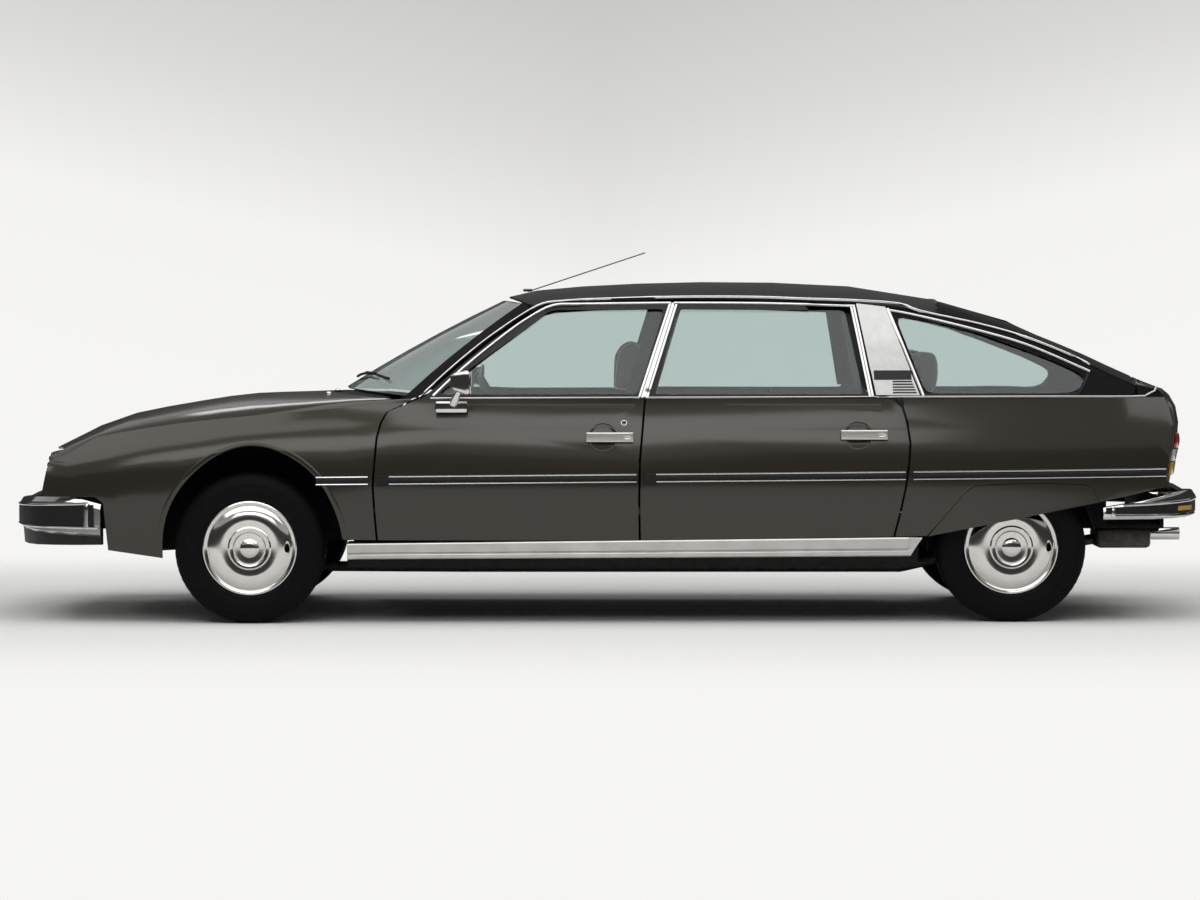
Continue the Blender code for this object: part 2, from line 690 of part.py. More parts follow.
def screen_point(across, up, crown=SCREEN_CROWN):
    """A point on the windscreen: across -1 to 1, up 0 at the scuttle to 1 at the roof."""
    square = across * across
    base_x = x_at(SCREEN_BASE_SHARES[0]) + SCREEN_SWEEP_BASE * square
    top_x = x_at(SCREEN_TOP_SHARES[0]) + SCREEN_SWEEP_TOP * square
    base_z = z_at(SCREEN_BASE_SHARES[1]) - SCREEN_BASE_DROP * square
    top_z = z_at(SCREEN_TOP_SHARES[1]) - SCREEN_TOP_DROP * square
    bulge = crown * 4 * up * (1 - up)
    half = SCREEN_BASE_HALF + (SCREEN_TOP_HALF - SCREEN_BASE_HALF) * up
    return (base_x + (top_x - base_x) * up - bulge * 0.6, across * half,
            base_z + (top_z - base_z) * up + bulge * 0.8)


def roof_skin():
    """The roof panel between the gutters, its front edge swept like the windscreen's top."""
    front_edge = SCREEN_TOP_SHARES[0]
    rear_edge = ROOF_LINE_SHARES[-1][0]
    sweep = ROOF_NOSE_SWEEP / WHEELBASE
    past_middle_share = 0.04

    def place(u, v):
        share = (1 + past_middle_share) * v - past_middle_share
        start = front_edge + sweep * share * share + 0.004
        station = start + (rear_edge - start) * u ** 1.4
        return roof_point(station, share)

    return sheet("roof_skin", place, 7, 5, ROOF_THICKNESS, (0, 0, -1))


def mirrored(blank):
    """A right-hand half, reaching just past mid width, made whole."""
    whole = blank.modifiers.new("mirror", "MIRROR")
    whole.use_axis = (False, True, False)
    whole.use_bisect_axis = (False, True, False)
    whole.merge_threshold = 0.0001
    return settle(blank)


RAIL_LAP = 0.002
INNER_RAIL_INSET = 0.052
INNER_RAIL_DEPTH = 0.052
INNER_RAIL_DROP = 0.040
INNER_RAIL_FOOT = 0.070


def side_rail():
    """The strip of body side between the doors' top edges and the gutter, with the screen pillar."""
    depth = 0.060
    first, last = 1.19, 1.93
    door_top = side_points(FRONT_DOOR_TOP_SHARES)[:-1] + side_points(REAR_DOOR_TOP_SHARES)
    raised = [point for point in grown_open(door_top, PANEL_GAP) if point[1] > BELT_HEIGHT + PANEL_GAP]
    rail_top = [(x_at(station), gutter(station)[1] - RAIL_LAP) for station, _ in GUTTER_SHARES if 1.21 < station < 1.87]
    outline = rail_top + [(door_top[-1][0] + REAR_SHUT_GAP, door_top[-1][1])] + list(reversed(raised))
    low = BELT_HEIGHT - DOOR_BOTTOM_INSET
    high = ROOF_HEIGHT
    slab = flank_slab("side_rail", first, last, low, high, 8, 3, 0, depth)
    reach = (0, HALF_WIDTH + OVERRUN)
    rail = combine(slab, [prism("rail_edge", outline, *reach)], "INTERSECT")
    inner_foot = BELT_HEIGHT + INNER_RAIL_FOOT
    inner_top = [point for point in shifted(rail_top, 0, -SKIN_THICKNESS / 2) if point[1] > inner_foot]
    inner_low = [point for point in shifted(raised, 0, -INNER_RAIL_DROP) if point[1] > inner_foot]
    inner_outline = inner_top + list(reversed(inner_low))
    inner = flank_slab("inner_rail", first, last, low, high, 8, 3, INNER_RAIL_INSET, INNER_RAIL_DEPTH)
    inner = combine(inner, [prism("inner_rail_edge", inner_outline, *reach)], "INTERSECT")
    return combine(rail, [inner], "UNION")


def grown_open(points, distance):
    """An open line of points moved upwards and forwards, square to itself."""
    result = []
    last = len(points) - 1
    for index, here in enumerate(points):
        ahead = points[min(index + 1, last)]
        behind = points[max(index - 1, 0)]
        along = Vector((ahead[0] - behind[0], ahead[1] - behind[1])).normalized()
        result.append((here[0] - along.y * distance, here[1] + along.x * distance))
    return result


def screen_pillar():
    """The slanted post between the windscreen's side edge and the rail."""
    depth = PILLAR_DEPTH
    sections = []
    steps = 4
    for step in range(steps + 1):
        up = step / steps
        x, y, z = screen_point(1.0, up)
        edge = Vector((x, y, z))
        rail_station = 1.2150 + (1.368 - 1.2150) * up
        rail_y, rail_z = gutter(rail_station)
        rail = Vector((x_at(rail_station), rail_y, rail_z))
        inward = Vector((0.12, -0.98, -0.12)).normalized()
        under = Vector((0.60, 0.0, -0.80)).normalized()
        toward = (rail - edge).normalized()
        start = edge + toward * SEAT_GAP
        end = rail + toward * SKIN_THICKNESS
        sections.append([start, end, end + inward * depth, start + under * depth])
    foot = BELT_HEIGHT + SEAT_GAP * 2
    below = [(x_at(1.0), foot), (x_at(1.5), foot), (x_at(1.5), foot - OVERRUN), (x_at(1.0), foot - OVERRUN)]
    return combine(loft("screen_pillar", sections), [prism("foot_cut", below, 0, HALF_WIDTH)], "DIFFERENCE")


def centre_post():
    """The post between the doors, inboard of them, from the sill to the rail."""
    clear = POST_INSET
    depth = 0.035
    lead = 0.085
    trail = 0.040
    foot = SILL_TOP + SEAT_GAP
    split = side_points(SPLIT_SHARES)
    split[-1] = (split[-1][0], foot)
    outline = shifted(split, -lead, 0) + list(reversed(shifted(split, trail, 0)))
    slab = flank_slab("post", 1.46, 1.60, foot - PANEL_GAP, z_at(1.815), 2, 5, clear, depth)
    reach = (0, HALF_WIDTH + OVERRUN)
    post = combine(slab, [prism("post_edge", outline, *reach)], "INTERSECT")
    hinge_x, hinge_y = door_hinge_place(rear_door_outline()[0], REAR_HINGE_STATION)
    halves = []
    for height in HINGE_HEIGHTS:
        halves.extend(pillar_hinge_half(hinge_x, hinge_y, height, hinge_y - WEB_DEPTH))
    return combine(post, halves, "UNION")


def rear_pillar():
    """The vinyl-covered pillar above the belt round the quarter window, up to the gutter line."""
    depth = 0.050
    first, last = 1.78, 2.66
    front_top = (x_at(1.7935) + REAR_SHUT_GAP, z_at(1.80))
    front_foot = (x_at(1.815) + REAR_SHUT_GAP, z_at(1.016))
    corner = (x_at(1.845) + REAR_SHUT_GAP, z_at(0.992) + PANEL_GAP)
    gutter_line = [(x_at(station), gutter(station)[1] - RAIL_LAP * 1.5) for station, _ in GUTTER_SHARES if 1.795 < station < 2.65]
    foot = BELT_HEIGHT + SEAT_GAP
    end = x_at(DECK_STATION - DECK_JOINT_SHARE)
    outline = [corner, front_foot, front_top] + gutter_line + [(end, gutter_line[-1][1]), (end, foot), (corner[0], foot)]
    slab = flank_slab("rear_pillar", first, last, foot - DOOR_BOTTOM_INSET, ROOF_HEIGHT, 6, 3, 0, depth)
    reach = (0, HALF_WIDTH + OVERRUN)
    slab = combine(slab, [prism("rear_pillar_edge", outline, *reach)], "INTERSECT")
    window = smooth_corners(side_points(QUARTER_GLASS_SHARES), CORNER_ROUNDING * 2)
    return combine(slab, [prism("quarter_window", window, *reach)], "DIFFERENCE")


DECK_STATION = 2.635
DECK_JOINT_SHARE = 0.010
QUARTER_DEPTH = 0.014


def deck_height(station, y):
    """Height of the rear window and deck region at a sideways place, hollowed at mid width."""
    edge_y, edge_z = gutter(station)
    crown_z = z_at(interpolate(BUTTRESS_SHARES, station))
    reach = abs(y)
    if reach > BUTTRESS_HALF_TOP:
        t = min(1, (reach - BUTTRESS_HALF_TOP) / (edge_y - BUTTRESS_HALF_TOP))
        return crown_z - (crown_z - edge_z) * t ** BUTTRESS_POWER
    first, last = BUTTRESS_SHARES[0][0], BUTTRESS_SHARES[-1][0]
    along = min(1, (station - first) / (last - first))
    hollow = WINDOW_HOLLOW * math.sin(math.pi * (0.08 + 0.92 * along)) ** 0.8 if along < 1 else 0
    return crown_z - hollow * (1 - (reach / BUTTRESS_HALF_TOP) ** 2)


def deck_point(station, y):
    """A point of the rear window and deck region."""
    return x_at(station), y, deck_height(station, y)


def buttress():
    """The ridge between the rear window's side and the gutter, running down to the tail."""
    first, last = ROOF_LINE_SHARES[-1][0], DECK_STATION - DECK_JOINT_SHARE

    def place(u, v):
        station = first + (last - first) * u
        edge_y, _ = gutter(station)
        return deck_point(station, BUTTRESS_HALF_TOP + (edge_y - BUTTRESS_HALF_TOP) * v)

    return sheet("buttress", place, 6, 3, ROOF_THICKNESS, (0, 0, -1))


def build_roof():
    """Roof, rails, pillars and buttresses as one welded frame, symmetric about mid width."""
    half = combine(roof_skin(), [side_rail(), screen_pillar(), centre_post(), rear_pillar(), buttress()], "UNION",
                   use_self=True)
    return finish(mirrored(half), "roof", "vinyl")


def build_screens():
    """Windscreen, rear window and the fixed quarter windows."""
    def front(u, v):
        return screen_point((2 * v - 1) * 0.9993, 0.01 + 0.975 * u)

    finish(sheet("windscreen", front, 5, 10, SCREEN_THICKNESS, (1, 0, -1)), "windscreen", "glass")

    first, last = ROOF_LINE_SHARES[-1][0] + 0.004, 2.62

    def rear(u, v):
        station = first + (last - first) * u
        return deck_point(station, (2 * v - 1) * (BUTTRESS_HALF_TOP - WINDOW_EDGE_GAP))

    finish(sheet("rear_window", rear, 8, 8, SCREEN_THICKNESS, (0, 0, -1)), "rear_window", "glass")
    window = smooth_corners(side_points(QUARTER_GLASS_SHARES), CORNER_ROUNDING * 2)
    finish_pair(side_pane("quarter_glass", 1.84, 2.39, window), "quarter_glass", "glass")


def build_quarters():
    """Rear quarter panels below the belt, round the covered wheel, and the removable wheel covers."""
    depth = QUARTER_DEPTH
    reach = (HALF_WIDTH / 2, HALF_WIDTH + OVERRUN)
    tail_edge = side_points(REAR_DOOR_TAIL_SHARES)
    front = shifted(tail_edge, REAR_SHUT_GAP - PANEL_GAP / 2, 0)
    front = [point for point in front if point[1] < BELT_HEIGHT - PANEL_GAP]
    spat = side_points(SPAT_SHARES)
    bottom = side_points(QUARTER_BOTTOM_SHARES)
    back = tail_sweep(TAIL_HALF) - PANEL_GAP
    tail = [(x_at(station) + back, z_at(level)) for level, station in TAIL_SHARES if 0.61 < level < 1.0]
    top = BELT_HEIGHT - SEAT_GAP
    ridge = [(x_at(station), z_at(level)) for station, level in GUTTER_SHARES if station > DECK_STATION]
    ridge = [(x_at(DECK_STATION), top), (x_at(DECK_STATION), z_at(1.107))] + ridge
    outline = list(front) + spat + bottom[1:3] + list(reversed(tail)) + list(reversed(ridge)) + [(front[0][0], top)]
    slab = flank_slab("quarter", 1.82, 2.92, z_at(0.33), z_at(1.15), 9, 6, 0, depth)
    quarter = combine(slab, [prism("quarter_edge", outline, *reach)], "INTERSECT")
    finish_pair(quarter, "quarter", "paint")
    cover_gap = 0.0019
    cover_edge = shifted(spat, 0, -cover_gap)
    cover_edge[0] = (cover_edge[0][0] + 2 * cover_gap, cover_edge[0][1])
    cover = flank_slab("wheel_cover", 1.88, 2.45, z_at(0.36), z_at(0.65), 8, 4, 0, depth)
    cover = combine(cover, [prism("cover_edge", cover_edge, *reach)], "INTERSECT")
    finish_pair(cover, "wheel_cover", "paint")


def build_wings():
    """Front wings: flank, rounded shoulder up to the bonnet line, wheel arch and bumper notch."""
    waist = BELT_HEIGHT * WAIST_LEVEL_SHARE
    first, last = 0.155, 1.225
    bottom = z_at(0.24)
    lower_share = 0.45

    def place(u, v):
        station = first + (last - first) * u
        top = shoulder(station)[1]
        if v < lower_share:
            z = bottom + (waist - bottom) * v / lower_share
        else:
            angle = (v - lower_share) / (1 - lower_share) * math.pi / 2
            z = waist + (top - waist) * math.sin(angle)
        return x_at(station), flank_y(station, z), z

    wing = sheet("wing", place, 10, 7, SKIN_THICKNESS, (0, -1, -0.2))
    nose, top, _ = front_door_outline()
    edge = shifted(nose + top[:1], -PANEL_GAP / 2, 0)
    lower = side_points(WING_BOTTOM_SHARES)
    arch = side_points(FRONT_ARCH_SHARES)
    front = side_points(WING_FRONT_SHARES)
    notch = side_points(BUMPER_NOTCH_SHARES)
    sky = ROOF_HEIGHT
    outline = (edge + [(edge[-1][0], sky), (front[-1][0], sky)] + list(reversed(front))
               + [(front[0][0] + PANEL_GAP, notch[1][1]), notch[1], notch[2], notch[3]] + lower + arch)
    reach = (HALF_WIDTH / 2, HALF_WIDTH + OVERRUN)
    wing = combine(wing, [prism("wing_edge", outline, *reach)], "INTERSECT")
    finish_pair(wing, "wing", "paint")


def bonnet_point(u, share, rear_gap=0.055):
    """A point on the bonnet: u from its swept nose to the scuttle, share across."""
    square = share * share
    nose_station = 0.141 + NOSE_SWEEP * square / FRONT_OVERHANG
    tail_x = x_at(SCREEN_BASE_SHARES[0]) + SCREEN_SWEEP_BASE * square - rear_gap
    start_x = x_at(nose_station)
    x = start_x + (tail_x - start_x) * u
    station = station_at(x)
    side_y, side_z = shoulder(station)
    crown_z = z_at(interpolate(BONNET_LINE_SHARES, station))
    return x, share * (side_y - PANEL_GAP * 1.2), crown_z - (crown_z - side_z) * abs(share) ** BONNET_POWER


def bonnet_height(x, y):
    """Height of the bonnet's surface at a place."""
    station = station_at(x)
    side_y, side_z = shoulder(station)
    crown_z = z_at(interpolate(BONNET_LINE_SHARES, station))
    return crown_z - (crown_z - side_z) * min(1, abs(y) / side_y) ** BONNET_POWER


def build_bonnet():
    """The bonnet lid with its two hinge arms."""
    def place(u, v):
        return bonnet_point(u ** 0.85, 2 * v - 1)

    lid = sheet("bonnet_skin", place, 9, 10, SKIN_THICKNESS, (0, 0, -1))
    arms = []
    for side in (-1, 1):
        y = side * BONNET_HINGE_Y
        hinge = Vector((x_at(BONNET_HINGE_STATION), y, BONNET_HINGE_Z))
        arms.append(rod("bonnet_barrel", hinge + Vector((0, -BARREL_HEIGHT / 2, 0)),
                        hinge + Vector((0, BARREL_HEIGHT / 2, 0)), BARREL_RADIUS))
        reach_x = hinge.x - BONNET_ARM
        reach = Vector((reach_x, y, bonnet_height(reach_x, y) - SKIN_THICKNESS / 2))
        arms.append(bar("bonnet_arm", hinge, reach,
                        BARREL_RADIUS * 1.4, BARREL_RADIUS))
    return finish(combine(lid, arms, "UNION"), "bonnet", "paint")


BONNET_HINGE_STATION = 1.187
BONNET_HINGE_Z = 0.876
BONNET_HINGE_Y = 0.655
BONNET_ARM = 0.150


def bar(name, start, end, width, height):
    """A rectangular bar between two points, its width sideways."""
    start, end = Vector(start), Vector(end)
    along = (end - start).normalized()
    across = Vector((0, 1, 0))
    if abs(along.dot(across)) > 0.9:
        across = Vector((1, 0, 0))
    up = along.cross(across).normalized()
    across = up.cross(along).normalized()
    sections = []
    for place in (start, end):
        sections.append([place + across * a * width / 2 + up * b * height / 2
                         for a, b in ((-1, -1), (1, -1), (1, 1), (-1, 1))])
    return loft(name, sections)


def tail_sweep(y):
    """How far the tail face stands behind its line at the buttresses."""
    return TAIL_CROWN * (1 - (y / BUTTRESS_HALF_TOP) ** 2)


def tail_point(v, share):
    """A point of the deck and tail face: v down the profile, share across to the body side."""
    deck_rows = [(DECK_STATION, None), (2.69, None)]
    rows = deck_rows + [(station, z_at(level)) for level, station in TAIL_SHARES[1:]]
    span = len(rows) - 1
    index = min(int(v * span + 1e-6), span - 1)
    t = v * span - index
    places = []
    for station, z in rows[index:index + 2]:
        height = gutter(station)[1] if z is None else z
        y = share * (flank_y(station, height) - QUARTER_DEPTH * 1.16 - SEAT_GAP)
        x = x_at(station) + (0 if z is None else tail_sweep(y))
        if z is None:
            z = deck_height(station, y)
        places.append(Vector((x, y, z)))
    return places[0].lerp(places[1], t)


def tail_sheet(name, thickness, standing=0.0, inward=(-1, 0, -0.5)):
    """The whole deck and tail face as one shell, set back from the surface if asked."""
    def place(u, v):
        return tail_point(u, 2 * v - 1) + Vector((standing, 0, 0))

    return sheet(name, place, 9, 10, thickness, inward)


LID_OUTLINE = ((-0.600, 1.120), (0.600, 1.120), (0.600, 0.800), (0.400, 0.780), (0.400, 0.585),
               (-0.400, 0.585), (-0.400, 0.780), (-0.600, 0.800))
LID_FRONT_STATION = 2.665
LID_THICKNESS = 0.016
LAMP_THICKNESS = 0.012
LID_BARREL_RADIUS = 0.0030
LID_BARREL_HALF = 0.020
LID_HINGE_Y = 0.500
TAIL_FLOOR = 0.480


def lid_hinge_place():
    """Axis of the boot lid, in the gap ahead of the lid and level with the deck."""
    return x_at(LID_FRONT_STATION) - PANEL_GAP / 2, deck_height(LID_FRONT_STATION, LID_HINGE_Y) - LID_BARREL_RADIUS


def build_tail():
    """Rear panel round the boot opening, and the boot lid."""
    outline = list(LID_OUTLINE)
    lid_front = x_at(LID_FRONT_STATION)
    lid = tail_sheet("lid", LID_THICKNESS)
    lid = combine(lid, [prism("lid_edge", outline, lid_front, LENGTH, view="rear")], "INTERSECT")
    hinge_x, hinge_z = lid_hinge_place()
    radius = LID_BARREL_RADIUS
    low, high = hinge_z - radius * 2, hinge_z + radius * 0.9
    barrels = []
    ears = []
    for side in (-1, 1):
        y = side * LID_HINGE_Y
        half = Vector((0, LID_BARREL_HALF, 0))
        axis = Vector((hinge_x, y, hinge_z))
        barrels.append(rod("lid_barrel", axis - half, axis + half, radius))
        barrels.append(block("lid_leaf", (hinge_x, y - half.y, low), (lid_front + radius * 2, y + half.y, hinge_z)))
        for end in (-1, 1):
            near = y + end * (half.y + PIN_GAP)
            far = near + end * LID_BARREL_HALF / 2
            ears.append(block("lid_ear", (lid_front - PANEL_GAP - radius * 2, min(near, far), low),
                              (hinge_x + radius * 0.9, max(near, far), high)))
    finish(combine(lid, barrels, "UNION"), "boot_lid", "paint")
    panel = tail_sheet("panel", LID_THICKNESS)
    opening = grown(outline, PANEL_GAP)
    panel = combine(panel, [prism("opening", opening, lid_front - PANEL_GAP, LENGTH, view="rear")], "DIFFERENCE")
    panel = combine(panel, ears, "UNION")
    finish(panel, "tail_panel", "paint")


def both_sides(make):
    """The right-hand blank that a function makes, and its left-hand reflection."""
    right = make()
    return [right, reflected(right, "left_copy")]


FLOOR_BOTTOM = 0.228
FLOOR_THICKNESS = 0.018
FLOOR_HALF = 0.740
FLOOR_FRONT_STATION = 1.150
HEEL_STATION = 1.876
BOOT_FLOOR_HEIGHT = 0.372
BOOT_HALF = 0.560
BOOT_END_STATION = 2.79
TUB_HEIGHT = 0.660
REAR_WALL_TOP = 0.500
TUB_WALL = 0.012
SILL_DEPTH = 0.110
SILL_FRONT_STATION = 1.128


def build_floor():
    """Cabin floor with its slanted heel board and box sills."""
    front = x_at(FLOOR_FRONT_STATION)
    heel = x_at(HEEL_STATION)
    top = FLOOR_BOTTOM + FLOOR_THICKNESS
    floor = block("floor", (front, -FLOOR_HALF, FLOOR_BOTTOM), (heel, FLOOR_HALF, top))
    rise = [(heel - FLOOR_THICKNESS, FLOOR_BOTTOM), (heel, FLOOR_BOTTOM), (boot_start(), BOOT_FLOOR_HEIGHT),
            (boot_start(), BOOT_FLOOR_HEIGHT + FLOOR_THICKNESS),
            (heel + FLOOR_THICKNESS * 2, BOOT_FLOOR_HEIGHT + FLOOR_THICKNESS), (heel - FLOOR_THICKNESS, top)]
    heel_board = prism("heel_board", rise, -BOOT_HALF - TUB_WALL, BOOT_HALF + TUB_WALL)

    def sill():
        sections = []
        steps = 7
        for step in range(steps + 1):
            station = SILL_FRONT_STATION + (HEEL_STATION - SILL_FRONT_STATION) * step / steps
            x = x_at(station)
            middle = (FLOOR_BOTTOM + SILL_TOP) / 2
            inner = flank_y(station, SILL_TOP) - SILL_DEPTH
            outer = [(x, flank_y(station, z), z) for z in (FLOOR_BOTTOM, middle, SILL_TOP)]
            sections.append(outer + [(x, inner, SILL_TOP), (x, inner, FLOOR_BOTTOM)])
        return loft("sill", sections)

    floor = combine(floor, [heel_board] + both_sides(sill), "UNION")
    return finish(floor, "floor_pan", "dark_metal")


def boot_start():
    """Where the boot floor butts against the top of the heel board."""
    return x_at(HEEL_STATION) + FLOOR_THICKNESS * 3


def build_boot_tub():
    """Boot floor with its rear wall and the inner rear wheel arches."""
    front = boot_start() + SEAT_GAP
    rear = x_at(BOOT_END_STATION)
    base = block("boot_floor", (front, -BOOT_HALF - TUB_WALL, BOOT_FLOOR_HEIGHT),
                 (rear, BOOT_HALF + TUB_WALL, BOOT_FLOOR_HEIGHT + FLOOR_THICKNESS))

    def tub():
        x0, x1 = front, x_at(2.50)
        wall = block("tub_wall", (x0, BOOT_HALF, BOOT_FLOOR_HEIGHT + TUB_WALL / 3),
                     (x1, BOOT_HALF + TUB_WALL, TUB_HEIGHT + TUB_WALL))
        lid = block("tub_lid", (x0, BOOT_HALF + TUB_WALL / 2, TUB_HEIGHT),
                    (x1, half_width(2.5) - SKIN_THICKNESS * 3.5, TUB_HEIGHT + TUB_WALL))
        return combine(wall, [lid], "UNION")

    wall = block("rear_wall", (rear - FLOOR_THICKNESS, -BOOT_HALF - TUB_WALL, BOOT_FLOOR_HEIGHT + TUB_WALL / 3),
                 (rear, BOOT_HALF + TUB_WALL, REAR_WALL_TOP))
    return finish(combine(base, [wall] + both_sides(tub), "UNION"), "boot_tub", "dark_metal")


FIREWALL_X_STATION = 1.152
FIREWALL_THICKNESS = 0.014
POST_FRONT_STATION = 1.140
PLENUM_HEIGHT = 0.835
PLENUM_THICKNESS = 0.010
SCUTTLE_FRONT = 0.075
SCUTTLE_REAR = 0.030
SCUTTLE_HALF = 0.610
SCUTTLE_LIP = 0.010
POST_DEPTH = 0.050
WING_SEAT_LOW = 0.350
WING_SEAT_HIGH = 0.410
WING_SEAT_WIDTH = 0.050


def build_bulkhead():
    """Firewall, scuttle under the windscreen, front door posts and the ears of the bonnet hinges."""
    wall_x = x_at(FIREWALL_X_STATION)
    wall = block("firewall", (wall_x, -FLOOR_HALF, FLOOR_BOTTOM + FLOOR_THICKNESS + SEAT_GAP),
                 (wall_x + FIREWALL_THICKNESS, FLOOR_HALF, PLENUM_HEIGHT + PLENUM_THICKNESS / 2))
    scuttle_x = x_at(SCREEN_BASE_SHARES[0])
    shelf = block("plenum", (scuttle_x - SCUTTLE_FRONT, -BONNET_HINGE_Y - SCUTTLE_REAR, PLENUM_HEIGHT),
                  (scuttle_x + SCREEN_SWEEP_BASE, BONNET_HINGE_Y + SCUTTLE_REAR, PLENUM_HEIGHT + PLENUM_THICKNESS))
    sections = []
    webs = []
    steps = 8
    for step in range(steps + 1):
        y = SCUTTLE_HALF * (2 * step / steps - 1)
        x, _, z = screen_point(y / SCREEN_BASE_HALF, 0)
        lip = SCUTTLE_LIP
        sections.append([(x - SCUTTLE_FRONT, y, z - 4.4 * lip), (x + SCUTTLE_REAR, y, z - 3.4 * lip),
                         (x + SCUTTLE_REAR, y, z - 1.2 * lip), (x - SCUTTLE_FRONT, y, z - 3 * lip)])
        webs.append([(x, y, PLENUM_HEIGHT + PLENUM_THICKNESS / 2), (x + lip, y, PLENUM_HEIGHT + PLENUM_THICKNESS / 2),
                     (x + lip, y, z - 2.5 * lip), (x, y, z - 3.2 * lip)])
    scuttle = loft("scuttle", sections)
    web = loft("scuttle_web", webs)

    def post():
        last = 1.176
        foot = SILL_TOP + SEAT_GAP
        top = PLENUM_HEIGHT + PLENUM_THICKNESS / 2
        slab = flank_slab("a_post", POST_FRONT_STATION, last, foot - PANEL_GAP, top, 2, 5, POST_INSET, POST_DEPTH)
        above = [(x_at(POST_FRONT_STATION) - OVERRUN, foot), (x_at(last) + OVERRUN, foot),
                 (x_at(last) + OVERRUN, top + OVERRUN), (x_at(POST_FRONT_STATION) - OVERRUN, top + OVERRUN)]
        return combine(slab, [prism("above_sill", above, 0, HALF_WIDTH)], "INTERSECT")

    def wing_seat():
        station = POST_FRONT_STATION
        outer = flank_y(station, WING_SEAT_LOW) - SKIN_THICKNESS * 1.05 - SEAT_GAP
        return block("wing_seat", (x_at(station), FLOOR_HALF - POST_DEPTH, WING_SEAT_LOW),
                     (x_at(station) + WING_SEAT_WIDTH, outer, WING_SEAT_HIGH))

    parts = [shelf, scuttle, web] + both_sides(post) + both_sides(wing_seat)
    hinge_x = x_at(BONNET_HINGE_STATION)
    for side in (-1, 1):
        for end in (-1, 1):
            near = side * BONNET_HINGE_Y + end * (BARREL_HEIGHT / 2 + PIN_GAP)
            far = near + end * BARREL_RADIUS
            parts.append(block("bonnet_ear", (hinge_x - BARREL_RADIUS, min(near, far), PLENUM_HEIGHT),
                               (hinge_x + BARREL_RADIUS, max(near, far), BONNET_HINGE_Z + BARREL_RADIUS)))
    hinge_x, hinge_y = door_hinge_place(front_door_outline()[0], FRONT_HINGE_STATION)
    for height in HINGE_HEIGHTS:
        for blank in pillar_hinge_half(hinge_x, hinge_y, height, hinge_y - WEB_DEPTH):
            parts.append(reflected(blank, "hinge_left"))
            parts.append(blank)
    return finish(combine(wall, parts, "UNION"), "bulkhead", "dark_metal")


RAIL_Y = 0.430
RAIL_SECTION = 0.070
RAIL_HEIGHT = 0.400
CROSS_X_HALF = 0.060
KINGPIN_Y = FRONT_TRACK / 2 - 0.055
JOINT_RISE = 0.115
JOINT_RADIUS = 0.014
ARM_RADIUS = 0.011
WISHBONE_SHARES = ((-1.6, 0.04), (-1.2, 0.04), (0.0, 0.80), (1.2, 0.04), (1.6, 0.04), (0.22, 1.0), (-0.22, 1.0))
UPRIGHT_HALF = 0.016
FRAME_FRONT_STATION = 0.0784
LAMP_WALL_HALF = 0.620
LAMP_WALL_TOP = 0.640
LAMP_DEPTH = 0.060
LAMP_TOP = 0.676
LAMP_OUTER = 0.672


def lamp_back_x():
    """Lengthwise place of the headlamps' backs, just ahead of the wall that carries them."""
    return nose_x(LAMP_OUTER, LAMP_TOP) + LAMP_DEPTH


def front_wheel_centre():
    """Centre of the right front wheel."""
    return Vector((FRONT_AXLE_X, FRONT_TRACK / 2, TYRE_RADIUS))


def rear_wheel_centre():
    """Centre of the right rear wheel."""
    return Vector((REAR_AXLE_X, REAR_TRACK / 2, TYRE_RADIUS))


def build_front_frame():
    """Side rails, the radiator wall that carries lamps and grille, and the front axle's cross tube and arms."""
    rear = x_at(FIREWALL_X_STATION) - SEAT_GAP
    front = x_at(FRAME_FRONT_STATION)
    wall_x = lamp_back_x() + SEAT_GAP
    half = RAIL_SECTION / 2
    base = block("cross", (FRONT_AXLE_X - CROSS_X_HALF, -RAIL_Y, RAIL_HEIGHT - half * 3),
                 (FRONT_AXLE_X + CROSS_X_HALF, RAIL_Y, RAIL_HEIGHT - half * 0.6))
    parts = [block("radiator_wall", (wall_x, -LAMP_WALL_HALF, RAIL_HEIGHT - half * 0.4),
                   (wall_x + FIREWALL_THICKNESS, LAMP_WALL_HALF, LAMP_WALL_TOP))]

    def side():
        rail = block("rail", (front, RAIL_Y - half, RAIL_HEIGHT - half), (rear, RAIL_Y + half, RAIL_HEIGHT + half))
        centre = front_wheel_centre()
        arms = []
        for rise in (-JOINT_RISE, JOINT_RISE):
            joint = Vector((centre.x, KINGPIN_Y, centre.z + rise))
            spread = [(centre.x + share * CROSS_X_HALF, RAIL_Y + (KINGPIN_Y - RAIL_Y) * out)
                      for share, out in WISHBONE_SHARES]
            arms.append(prism("wishbone", spread, joint.z - ARM_RADIUS, joint.z + ARM_RADIUS, view="plan"))
            arms.append(rod("ball", joint - Vector((0, 0, JOINT_RADIUS)), joint + Vector((0, 0, JOINT_RADIUS)),
                            UPRIGHT_HALF * 1.25, 10))
        carrier = block("carrier", (centre.x - CROSS_X_HALF * 2, RAIL_Y - half * 0.8, centre.z - JOINT_RISE - half / 2),
                        (centre.x + CROSS_X_HALF * 2, RAIL_Y + half * 0.8, centre.z + JOINT_RISE + half / 2))
        return combine(rail, [carrier] + arms, "UNION")

    return finish(combine(base, parts + both_sides(side), "UNION"), "front_frame", "dark_metal")


SPINDLE_RADIUS = 0.024
WHEEL_STEPS = 18
RIM_LIP = 0.012
TYRE_STEPS = 24


